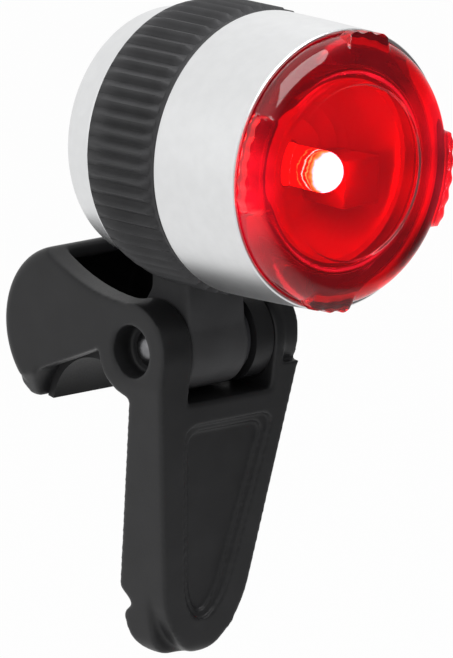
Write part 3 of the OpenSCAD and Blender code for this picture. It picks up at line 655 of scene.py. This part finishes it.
@dataclass
class Bracket:
    """Black moulded bracket with its hook, ears and tail, softly rounded.

    Args:
        voxel: Size of the working grid in mm.
        passes: Number of smoothing passes.
        keep: Share of the triangles that is kept.
        half_w: Half width of the ears.
        taper: Taper of each edge of the tail, in degrees.
        taper_from: Distance below the pin where the taper starts.
        lean: Rearward lean of the front face, in degrees.
        ear_r: Radius of the ears.
        panel: Distances below the pin between which the recessed panel lies.
        panel_depth: Depth behind the front face that counts as the panel's.
        panel_edge: Distance of the panel's steps from the plate's edges.
        crevice_x: Place across, right of which the right ear's crevice lies.
        crevice_y: Place along Y from the pin, in front of which the crevice lies.
        crevice_z: Heights from the pin between which the crevice lies.
        crisp: Share of the smoothing that the panel's steps and the crevice take.
    """

    voxel: float = 0.18
    passes: int = 18
    keep: float = 0.3
    half_w: float = 10.8
    taper: float = 9.3
    taper_from: float = 4.0
    lean: float = 8.6
    ear_r: float = 5.8
    panel: Point = (8.2, 35.0)
    panel_depth: float = 2.0
    panel_edge: float = 1.1
    crevice_x: float = 8.1
    crevice_y: float = -3.2
    crevice_z: Point = (-3.9, -2.0)
    crisp: float = 0.25

    def build(self, dress: Dresser) -> None:
        """Builds and dresses the bracket."""
        piece = cad_copy("bracket", "bracket_moulded")
        piece.data.transform(Matrix.Scale(1 / MM, 4))
        soften(piece, self.voxel, self.passes, self.keep, self.ease)
        piece.data.transform(Matrix.Scale(MM, 4))
        smooth(piece, angle=60)
        dress.finish(piece, "black_plastic", "bracket", "bracket")

    def ease(self, at: np.ndarray) -> np.ndarray:
        """Share of the smoothing at each point: little on the panel's steps and the right ear's crevice.

        Args:
            at: Points in mm.

        Returns:
            A share for each point.
        """
        x, y, z = at[:, 0], at[:, 1] - LAMP.pin_y, at[:, 2] - LAMP.pin_z
        tilt = math.radians(self.lean)
        depth = y * math.cos(tilt) + z * math.sin(tilt) + self.ear_r
        half = self.half_w - math.tan(math.radians(self.taper)) * np.maximum(0, -z - self.taper_from)
        panel = (depth < self.panel_depth) & (np.abs(x) < half - self.panel_edge)
        panel &= (-z > self.panel[0]) & (-z < self.panel[1])
        crevice = (x > self.crevice_x) & (y < self.crevice_y)
        crevice &= (z > self.crevice_z[0]) & (z < self.crevice_z[1])
        return np.where(panel | crevice, self.crisp, 1.0)


@dataclass
class Collar:
    """Black ribbed ring with its foot.

    Args:
        crest_r: Radius over the ribs in mm.
        rib_h: Height of the ribs.
        count: Number of ribs.
        back: Rear edge, in front of the pin.
        front: Front edge of the ribs.
        fade: Length over which the ribs rise at the rear.
        drop: Drop of the ribs at the rear edge.
        round_end: Length of the ribs' rounded front end.
        rib_share: Width of a rib's foot, as a share of the pitch.
        rib_base: Height of the block that each rib is shaped from.
        rib_points: Points along and across a rib.
        sink: Depth of the ribs' feet in the ring.
        slack: Slack by which the node's own ribs are told from the rest.
        voxel: Size of the working grid.
        passes: Number of smoothing passes.
        keep: Share of the triangles that is kept.
    """

    crest_r: float = 16.95
    rib_h: float = 0.75
    count: int = 60
    back: float = -1.85
    front: float = 9.4
    fade: float = 4.5
    drop: float = 0.95
    round_end: float = 0.7
    rib_share: float = 0.96
    rib_base: float = 0.4
    rib_points: tuple[int, int] = (15, 9)
    sink: float = 0.02
    slack: float = 0.01
    voxel: float = 0.2
    passes: int = 16
    keep: float = 0.4

    def build(self, dress: Dresser) -> None:
        """Builds and dresses the ring."""
        piece = cad_copy("collar", "collar_ribbed")
        self.press(piece)
        soften(piece, self.voxel, self.passes, self.keep)
        self.ribs().run(piece, {
            "Count": self.count,
            "Root": self.crest_r - self.rib_h - self.sink,
            "Length": self.front - self.back - self.bare,
            "Start": self.back + self.bare,
            "Bare": self.bare,
            "Height": self.rib_h,
            "Fade": self.fade,
            "Drop": self.drop / self.rib_h,
            "Round": self.round_end,
            "Finish": dress.materials["collar_plastic"],
        })
        piece.data.transform(LAMP.matrix())
        smooth(piece, angle=40)
        dress.finish(piece, "collar_plastic", "lamp", "collar")

    @property
    def bare(self) -> float:
        """Length at the rear edge that has no ribs."""
        return self.fade * (1 - math.sqrt(self.rib_h / self.drop))

    def press(self, piece: bpy.types.Object) -> None:
        """Presses the node's ribs flat and leaves the mesh in lamp axes.

        Args:
            piece: Copy of the CAD ring.
        """
        piece.data.transform(LAMP.matrix().inverted())
        root = self.crest_r - self.rib_h
        for vert in piece.data.vertices:
            x, y, z = vert.co
            r = math.hypot(x, y)
            t = min(1.0, max(0.0, (z - self.back) / self.fade))
            low = min(root, self.crest_r - self.drop * (1 - t) ** 2 - self.slack)
            if low < r < self.crest_r + 2 * self.slack and z < self.front + self.slack:
                vert.co = (x * low / r, y * low / r, z)

    def ribs(self) -> NodeTree:
        """Builds the tree that sets ribs round the ring.

        Returns:
            The tree, in lamp axes and mm.
        """
        made = NodeTree("collar_ribs")
        made.size("Count", "NodeSocketInt")
        for name in ("Root", "Length", "Start", "Bare", "Height", "Fade", "Drop", "Round"):
            made.size(name)
        made.size("Finish", "NodeSocketMaterial")
        value = made.start.outputs
        pitch = made.maths("DIVIDE", made.maths("MULTIPLY", value["Root"], 2 * math.pi), value["Count"])
        width = made.maths("MULTIPLY", pitch, self.rib_share)
        size = made.node("ShaderNodeCombineXYZ", {"X": value["Length"], "Y": width, "Z": self.rib_base})
        block = made.node("GeometryNodeMeshCube", {
            "Size": size.outputs[0], "Vertices X": self.rib_points[0], "Vertices Y": self.rib_points[1]})
        here = made.node("GeometryNodeInputPosition").outputs[0]
        place = made.node("ShaderNodeSeparateXYZ", {0: here})
        along, across = place.outputs["X"], place.outputs["Y"]
        wave = made.maths("COSINE", made.maths("DIVIDE", made.maths("MULTIPLY", across, 2 * math.pi), pitch))
        wave = made.maths("MULTIPLY_ADD", wave, 0.5, 0.5)
        half = made.maths("MULTIPLY", value["Length"], 0.5)
        ahead = made.maths("DIVIDE", made.maths("SUBTRACT", half, along), value["Round"])
        ahead = made.maths("SUBTRACT", 1.0, made.maths("MINIMUM", ahead, 1.0))
        end = made.maths("SQRT", made.maths("SUBTRACT", 1.0, made.maths("MULTIPLY", ahead, ahead)))
        rear = made.maths("ADD", made.maths("ADD", half, along), value["Bare"])
        rear = made.maths("MINIMUM", made.maths("DIVIDE", rear, value["Fade"]), 1.0)
        rear = made.maths("SUBTRACT", 1.0, rear)
        rear = made.maths("MULTIPLY", made.maths("MULTIPLY", rear, rear), value["Drop"])
        rear = made.maths("MAXIMUM", made.maths("SUBTRACT", 1.0, rear), 0.0)
        height = made.maths("MULTIPLY", rear, value["Height"])
        rise = made.maths("ADD", made.maths("MULTIPLY", made.maths("MULTIPLY", wave, end), height), self.sink)
        upper = made.maths("GREATER_THAN", place.outputs["Z"], 0.0)
        raised = made.maths("SUBTRACT", made.maths("MULTIPLY", rise, upper), self.rib_base / 2)
        lift = made.node("ShaderNodeCombineXYZ", {"Z": raised})
        rib = made.node("GeometryNodeSetPosition", {
            "Geometry": block.outputs["Mesh"], "Offset": lift.outputs[0]})
        ring = made.node("GeometryNodeMeshCircle", {"Vertices": value["Count"], "Radius": value["Root"]})
        outward = made.node("FunctionNodeAlignRotationToVector", {"Vector": here}, axis="Z")
        facing = made.node("FunctionNodeAlignRotationToVector", {
            "Rotation": outward.outputs[0], "Vector": (0, 0, 1)}, axis="X", pivot_axis="Z")
        copies = made.node("GeometryNodeInstanceOnPoints", {
            "Points": ring.outputs["Mesh"], "Instance": rib.outputs["Geometry"],
            "Rotation": facing.outputs[0]})
        middle = made.node("ShaderNodeCombineXYZ", {"Z": made.maths("ADD", value["Start"], half)})
        moved = made.node("GeometryNodeTransform", {
            "Geometry": copies.outputs["Instances"], "Translation": middle.outputs[0]})
        solid = made.node("GeometryNodeRealizeInstances", {"Geometry": moved.outputs["Geometry"]})
        joined = made.node("GeometryNodeJoinGeometry", {"Geometry": solid.outputs["Geometry"]})
        made.link(value["Geometry"], joined.inputs["Geometry"])
        dressed = made.node("GeometryNodeSetMaterial", {
            "Geometry": joined.outputs["Geometry"], "Material": value["Finish"]})
        made.link(dressed.outputs["Geometry"], made.end.inputs["Geometry"])
        return made


@dataclass
class Housing:
    """Satin aluminium barrel and rear cap, turned about the lamp axis.

    Args:
        back_r: Radius of the barrel at the collar.
        front_r: Radius of the barrel at the lens.
        collar_front: Front edge of the collar, in front of the pin.
        front: Front edge of the barrel.
        bulge_steps: Number of steps along the barrel's bulge.
        chamfer: Width of the bright chamfer round the lens.
        mouth_r: Radius of the barrel's mouth.
        seat: Depth of the lens's seat.
        bore_r: Radius of the barrel's bore.
        spigot_r: Radius of the spigot that goes into the collar.
        spigot_end: Rear end of that spigot.
        cap_r: Radius of the rear cap.
        cap_bore_r: Inner radius of the cap.
        cap_spigot_r: Radius of the cap's spigot.
        cap_front: Front end of the cap's spigot.
        collar_back: Rear edge of the collar.
        rim_w: Width of the bright rim beside the collar.
        rim_drop: Step from that rim down to the cap's side.
        rim_slope: Length of that step.
        cap_edge: Edge of the cap's side.
        cap_end: Rear end of the cap.
        crown_in: Distance of the crown's edge inside the rim.
        crown_flat: Share of the crown's radius that is nearly flat.
        crown_turn: Share of the crown's depth in its rounded edge.
        floor_t: Thickness of the cap's floor.
        floor_round: Size of the slope between the floor and the wall.
        steps: Number of steps round the axis.
    """

    back_r: float = 16.65
    front_r: float = 16.4
    collar_front: float = 10.5
    front: float = 23.9
    bulge_steps: int = 16
    chamfer: float = 0.15
    mouth_r: float = 15.95
    seat: float = 1.5
    bore_r: float = 14.15
    spigot_r: float = 15.25
    spigot_end: float = 4.1
    cap_r: float = 15.75
    cap_bore_r: float = 13.0
    cap_spigot_r: float = 15.0
    cap_front: float = 2.2
    collar_back: float = -1.85
    rim_w: float = 0.5
    rim_drop: float = 0.35
    rim_slope: float = 0.25
    cap_edge: float = -5.65
    cap_end: float = -8.65
    crown_in: float = 0.9
    crown_flat: float = 0.72
    crown_turn: float = 0.8
    floor_t: float = 2.7
    floor_round: float = 0.8
    steps: int = 192

    def build(self, dress: Dresser) -> None:
        """Builds and dresses the barrel and the cap."""
        barrel = lathe("front_barrel_turned", self.barrel_section(), self.steps)
        smooth(barrel, angle=25)
        dress.finish(barrel, "satin_aluminium", "lamp", "front_barrel")
        cap = lathe("rear_cap_turned", self.cap_section(), self.steps)
        smooth(cap, angle=25)
        dress.finish(cap, "satin_aluminium", "cap", "rear_cap")

    def barrel_section(self) -> list[Point]:
        """Section of the barrel, from its rear edge round to its spigot."""
        length = self.front - self.chamfer - self.collar_front
        seat = self.front - self.seat
        bulge = [(self.back_r - (self.back_r - self.front_r) * t * t, self.collar_front + length * t, 0.0)
                 for t in (i / self.bulge_steps for i in range(1, self.bulge_steps + 1))]
        return rounded([(self.back_r, self.collar_front, 0.15)] + bulge + [
            (self.front_r - self.chamfer, self.front, 0.05), (self.mouth_r, self.front, 0.05),
            (self.mouth_r, seat, 0.0), (self.bore_r, seat, 0.0),
            (self.bore_r, self.spigot_end, 0.0), (self.spigot_r, self.spigot_end, 0.0),
            (self.spigot_r, self.collar_front, 0.0)])

    def cap_section(self) -> list[Point]:
        """Section of the rear cap, from its spigot over its crown to its floor."""
        depth = (self.cap_edge - self.cap_end) * self.crown_turn
        reach = self.cap_r - self.crown_in
        crown = [(reach * (self.crown_flat + (1 - self.crown_flat) * math.cos(a)),
                  self.cap_edge - depth * math.sin(a), 0.0) for a in (math.radians(5 * i) for i in range(19))]
        rim = self.collar_back - self.rim_w
        floor = self.cap_end + self.floor_t
        return rounded([
            (self.cap_bore_r, self.cap_front, 0.1), (self.cap_spigot_r, self.cap_front, 0.1),
            (self.cap_spigot_r, self.collar_back, 0.0), (self.cap_r, self.collar_back, 0.1),
            (self.cap_r, rim, 0.12), (self.cap_r - self.rim_drop, rim - self.rim_slope, 0.1)] + crown + [
            (0.0, self.cap_end, 0.0), (0.0, floor, 0.0), (self.cap_bore_r - self.floor_round, floor, 0.3),
            (self.cap_bore_r, floor + self.floor_round, 0.2)])


@dataclass
class Lens:
    """Clear red lens with a sunk disc and four grip lugs.

    Args:
        edge_r: Radius of the lens.
        grip_r: Radius over the grip lugs.
        front: Front edge of the barrel, in front of the pin.
        rise: Rise of the lens in front of the barrel.
        seat: Depth of the seat in the barrel.
        seat_gap: Clearance that the lens turns on.
        skirt_r: Radius of the skirt.
        skirt_bore_r: Inner radius of the skirt.
        skirt_end: Rear end of the skirt.
        thick: Thickness of the lens.
        disc_r: Radius of the sunk disc.
        disc_depth: Depth of the sunk disc.
        disc_slope: Width of the disc's sloping edge.
        inside: Width of the inner rounding, as a share of the rise.
        ripple: Depth of the finger ripples on the lugs.
        ripple_turn: Turn from one ripple to the next, in degrees.
        steps: Number of steps round the axis.
        lugs: Middle and half angle of each grip lug, in degrees.
        lug_in: Distance inside the edge where a lug may raise the shoulder.
        lug_from: Distance in front of the barrel where the lugs start.
        lug_to: Share of the rise where they end.
        lug_ease: Angle over which the end of a lug rises, in degrees.
        lug_foot: Share of the rise where a lug starts to rise, and the share over which it does.
        lug_fall: Share of the rise over which a lug falls at its front.
        lug_lean: Share of the rise where a lug starts to lean in, and how fast it does.
    """

    edge_r: float = 15.8
    grip_r: float = 16.4
    front: float = 23.9
    rise: float = 2.8
    seat: float = 1.5
    seat_gap: float = 0.05
    skirt_r: float = 13.85
    skirt_bore_r: float = 12.35
    skirt_end: float = 19.1
    thick: float = 1.7
    disc_r: float = 10.2
    disc_depth: float = 0.35
    disc_slope: float = 0.15
    inside: float = 0.7
    ripple: float = 0.28
    ripple_turn: float = 7.5
    steps: int = 384
    lugs: tuple[Point, ...] = ((-11.0, 22.0), (79.0, 13.0), (169.0, 22.0), (259.0, 13.0))
    lug_in: float = 2.2
    lug_from: float = 0.15
    lug_to: float = 0.92
    lug_ease: float = 2.5
    lug_foot: Point = (0.06, 0.14)
    lug_fall: float = 0.25
    lug_lean: Point = (0.5, 0.9)

    def build(self, dress: Dresser) -> None:
        """Builds and dresses the lens."""
        piece = lathe("lens_moulded", self.section(), self.steps, self.reach)
        smooth(piece, angle=35)
        dress.finish(piece, "lens_red", "lens", "lens")

    def section(self) -> list[Point]:
        """Section of the lens, from its skirt over its crown to its inside."""
        seat = self.front - self.seat + self.seat_gap
        top = self.front + self.rise
        disc = top - self.disc_depth
        turn = [math.radians(6 * i) for i in range(16)]
        shoulder = [(self.edge_r - self.rise * (1 - math.cos(a)), self.front + self.rise * math.sin(a), 0.0)
                    for a in turn]
        inside = [(self.skirt_bore_r - self.rise * self.inside * (1 - math.cos(a)),
                   seat + (self.rise + self.seat - self.thick) * math.sin(a), 0.0) for a in reversed(turn)]
        return rounded([
            (self.skirt_bore_r, self.skirt_end, 0.0), (self.skirt_r, self.skirt_end, 0.0),
            (self.skirt_r, seat, 0.0), (self.edge_r, seat, 0.1)] + shoulder + [
            (self.disc_r + self.disc_slope, top, 0.08), (self.disc_r, disc, 0.06), (0.0, disc, 0.0),
            (0.0, top - self.thick, 0.0)] + inside)

    def reach(self, r: float, z: float, a: float) -> float:
        """Radius of the lens where a grip lug may raise it.

        Args:
            r: Radius of the plain section.
            z: Distance in front of the pin.
            a: Angle round the lamp axis.

        Returns:
            The radius with the lug.
        """
        level = (z - self.front) / self.rise
        if r < self.edge_r - self.lug_in or z < self.front + self.lug_from or level > self.lug_to:
            return r
        turn = math.degrees(a)
        best = 0.0
        for middle, half in self.lugs:
            off = abs((turn - middle + 180) % 360 - 180)
            best = max(best, min(1.0, max(0.0, (half - off) / self.lug_ease)))
        best = best * best * (3 - 2 * best)
        foot, climb = self.lug_foot
        up = min(1.0, max(0.0, (level - foot) / climb))
        down = min(1.0, max(0.0, (self.lug_to - level) / self.lug_fall))
        ripple = self.ripple * (1 - math.cos(2 * math.pi * (turn - self.lugs[0][0]) / self.ripple_turn)) / 2
        lean_from, lean = self.lug_lean
        want = self.grip_r - ripple - lean * max(0.0, level - lean_from) ** 2
        return r + (max(want, r) - r) * best * up * down


@dataclass
class LightUnit:
    """Lit diode and the dark square block beside it.

    Args:
        board: Front face of the board, in front of the pin.
        led_r: Radius of the diode.
        led_len: Length of the diode.
        led_at: Place of the diode across the axis.
        flange: Width of the diode's flange.
        flange_h: Height of the flange.
        flange_slope: Height of the flange's sloping edge.
        steps: Number of steps round the diode.
        block_edge: Width of the block's rounded edges.
    """

    board: float = 13.2
    led_r: float = 2.5
    led_len: float = 10.5
    led_at: Point = (-0.8, -0.4)
    flange: float = 0.2
    flange_h: float = 0.9
    flange_slope: float = 0.1
    steps: int = 48
    block_edge: float = 0.25

    def build(self, dress: Dresser) -> None:
        """Builds and dresses the diode and the block."""
        dome = [(self.led_r * math.cos(a), self.board + self.led_len - self.led_r + self.led_r * math.sin(a))
                for a in (math.radians(6 * i) for i in range(16))]
        wide, top = self.led_r + self.flange, self.board + self.flange_h
        body = [(0.0, self.board), (wide, self.board), (wide, top), (self.led_r, top + self.flange_slope)]
        diode = lathe("led_domed", body + dome, self.steps)
        diode.data.transform(Matrix.Translation((self.led_at[0] * MM, 0, self.led_at[1] * MM)))
        smooth(diode, angle=40)
        dress.finish(diode, "led_clear", "lamp", "led")
        block = cad_copy("square_block", "square_block_edged")
        edge = block.modifiers.new("edge", "BEVEL")
        edge.width = self.block_edge * MM
        edge.segments = 3
        edge.limit_method = "ANGLE"
        bake(block)
        smooth(block, angle=30)
        dress.finish(block, "block_dark", "lamp", "square_block")


@dataclass
class Studio:
    """Camera, soft lamps, pale floor and white surroundings.

    Args:
        azimuth: Camera's turn about the object, in degrees.
        elevation: Camera's height, in degrees.
        lens: Focal length in mm.
        floor_z: Height of the floor in m.
        floor_reach: Half width of the floor in m.
        floor_white: Share of plain white that the floor shows, which leaves room for the shadow.
        floor_fade: Distances in m between which the floor's reflection fades.
        world_fade: Directions between which the surroundings' reflection fades.
        ambient: Strength of the surroundings as light.
        middle: Point that the lamps face, in m.
        lamp_away: Distance of the lamps from it, in m.
        dark_way: Direction in which reflections see the least white.
        dark: Share of white that they see there.
        lamps: Name, direction, size in m and power in W of each soft lamp.
    """

    azimuth: float = -42.3
    elevation: float = 12.2
    lens: float = 900.0
    floor_z: float = -0.14
    floor_reach: float = 6.0
    floor_white: float = 0.97
    floor_fade: Point = (0.0, 0.5)
    world_fade: Point = (-0.3, 0.85)
    ambient: float = 0.5
    middle: tuple[float, float, float] = (0.0, -0.012, 0.01)
    lamp_away: float = 0.45
    dark_way: tuple[float, float, float] = (0.62, -0.77, -0.1)
    dark: float = 0.08
    lamps: tuple[tuple[str, tuple[float, float, float], float, float], ...] = (
        ("front_box", (0.0, -0.46, 0.87), 0.36, 2.1),
        ("right_box", (0.62, 0.28, 0.73), 0.3, 0.12),
        ("left_box", (-0.93, 0.15, 0.33), 0.35, 0.15),
    )

    def build(self) -> None:
        """Builds the whole studio."""
        self.camera()
        for name, way, size, power in self.lamps:
            self.lamp(name, Vector(way), size, power)
        self.floor()
        self.world()
        bpy.context.scene.view_settings.view_transform = "Standard"

    def camera(self) -> None:
        """Sets the camera at the photograph's angle."""
        a, e = math.radians(self.azimuth), math.radians(self.elevation)
        back = Vector((math.sin(a) * math.cos(e), -math.cos(a) * math.cos(e), math.sin(e)))
        turn = (-back).to_track_quat("-Z", "Y")
        right, up = turn @ Vector((1, 0, 0)), turn @ Vector((0, 1, 0))
        pin = Vector((0, LAMP.pin_y, LAMP.pin_z)) * MM
        pixel = MM / PX_PER_MM
        aim = pin + right * ((IMAGE_W / 2 - PIN_U) * pixel) + up * ((PIN_V - IMAGE_H / 2) * pixel)
        data = bpy.data.cameras.new("photo_camera")
        data.lens = self.lens
        data.sensor_width = 36.0
        data.clip_end = 20.0
        made = bpy.data.objects.new("photo_camera", data)
        made.location = aim + back * (IMAGE_H * pixel * self.lens / data.sensor_width)
        made.rotation_mode = "QUATERNION"
        made.rotation_quaternion = turn
        bpy.context.scene.collection.objects.link(made)
        bpy.context.scene.camera = made

    def lamp(self, name: str, way: Vector, size: float, power: float) -> None:
        """Adds a square soft lamp that faces the object.

        Args:
            name: Name of the lamp.
            way: Direction from the object to the lamp.
            size: Side of the lamp in m.
            power: Power in W.
        """
        data = bpy.data.lights.new(name, "AREA")
        data.shape = "SQUARE"
        data.size = size
        data.energy = power
        made = bpy.data.objects.new(name, data)
        made.location = Vector(self.middle) + way.normalized() * self.lamp_away
        made.rotation_mode = "QUATERNION"
        made.rotation_quaternion = (-way).to_track_quat("-Z", "Y")
        bpy.context.scene.collection.objects.link(made)

    def floor(self) -> None:
        """Adds the pale floor."""
        reach = self.floor_reach
        corners = [(x * reach, y * reach, self.floor_z) for x, y in ((-1, -1), (1, -1), (1, 1), (-1, 1))]
        made = add_mesh("floor", corners, [(0, 1, 2, 3)])
        pale = bpy.data.materials.new("pale_floor")
        pale.use_nodes = True
        wire = Wiring(pale.node_tree)
        shader = pale.node_tree.nodes["Principled BSDF"]
        shader.inputs["Base Color"].default_value = (0.86, 0.86, 0.86, 1)
        shader.inputs["Roughness"].default_value = 0.9
        share, level = self.seen(wire, "Object", *self.floor_fade)
        share = wire.maths("MULTIPLY", share, self.floor_white)
        self.whiten(wire, share, level, shader, wire.node("ShaderNodeEmission"), "Material Output")
        made.data.materials.append(pale)

    def world(self) -> None:
        """Makes the surroundings white to the eye and dim as light."""
        world = bpy.data.worlds.new("studio")
        bpy.context.scene.world = world
        world.use_nodes = True
        wire = Wiring(world.node_tree)
        light = world.node_tree.nodes["Background"]
        white = wire.node("ShaderNodeBackground")
        for shader in (light, white):
            shader.inputs["Color"].default_value = (1, 1, 1, 1)
        light.inputs["Strength"].default_value = self.ambient
        share, level = self.seen(wire, "Generated", *self.world_fade)
        self.whiten(wire, share, level, light, white, "World Output")

    def whiten(self, wire: Wiring, share: bpy.types.NodeSocket, level: bpy.types.NodeSocket,
               plain: bpy.types.Node, white: bpy.types.Node, end: str) -> None:
        """Shows white in place of a plain shader to the rays that see it.

        Args:
            wire: Builder of the nodes.
            share: Socket of the share of white.
            level: Socket of the white's strength.
            plain: Shader that lights the object.
            white: Shader of the white.
            end: Name of the tree's output node.
        """
        wire.link(level, white.inputs["Strength"])
        mix = wire.node("ShaderNodeMixShader", {"Fac": share, 1: plain.outputs[0], 2: white.outputs[0]})
        wire.link(mix.outputs[0], wire.tree.nodes[end].inputs["Surface"])

    def seen(self, wire: Wiring, place: str, start: float,
             end: float) -> tuple[bpy.types.NodeSocket, bpy.types.NodeSocket]:
        """Adds the white that a ray sees, which fades towards the right front in reflections.

        Args:
            wire: Builder of the nodes of the floor or the world.
            place: Coordinates that the fade follows.
            start: Distance or direction where the fade starts.
            end: Distance or direction where it ends.

        Returns:
            The socket that is 1 for every ray that sees the white, and the socket of the white's strength.
        """
        spot = wire.node("ShaderNodeTexCoord").outputs[place]
        along = wire.node("ShaderNodeVectorMath", {0: spot, 1: self.dark_way}, operation="DOT_PRODUCT")
        fade = wire.spread(along.outputs["Value"], start, end, 1.0, self.dark, "SMOOTHSTEP")
        path = wire.node("ShaderNodeLightPath").outputs
        straight = wire.maths("MAXIMUM", path["Is Camera Ray"], path["Is Transmission Ray"])
        glossy = path["Is Glossy Ray"]
        mirrored = wire.maths("MULTIPLY", glossy, fade)
        return wire.maths("MAXIMUM", straight, glossy), wire.maths("MAXIMUM", straight, mirrored)


def main() -> None:
    """Builds the studio and the pieces in order."""
    logging.basicConfig(level=logging.INFO, format="%(name)s: %(message)s")
    Studio().build()
    dress = Dresser()
    dress.nodes()
    for part in (Bracket(), Collar(), Housing(), Lens(), LightUnit()):
        part.build(dress)
    bpy.context.view_layer.update()


if __name__ == "__main__":
    main()
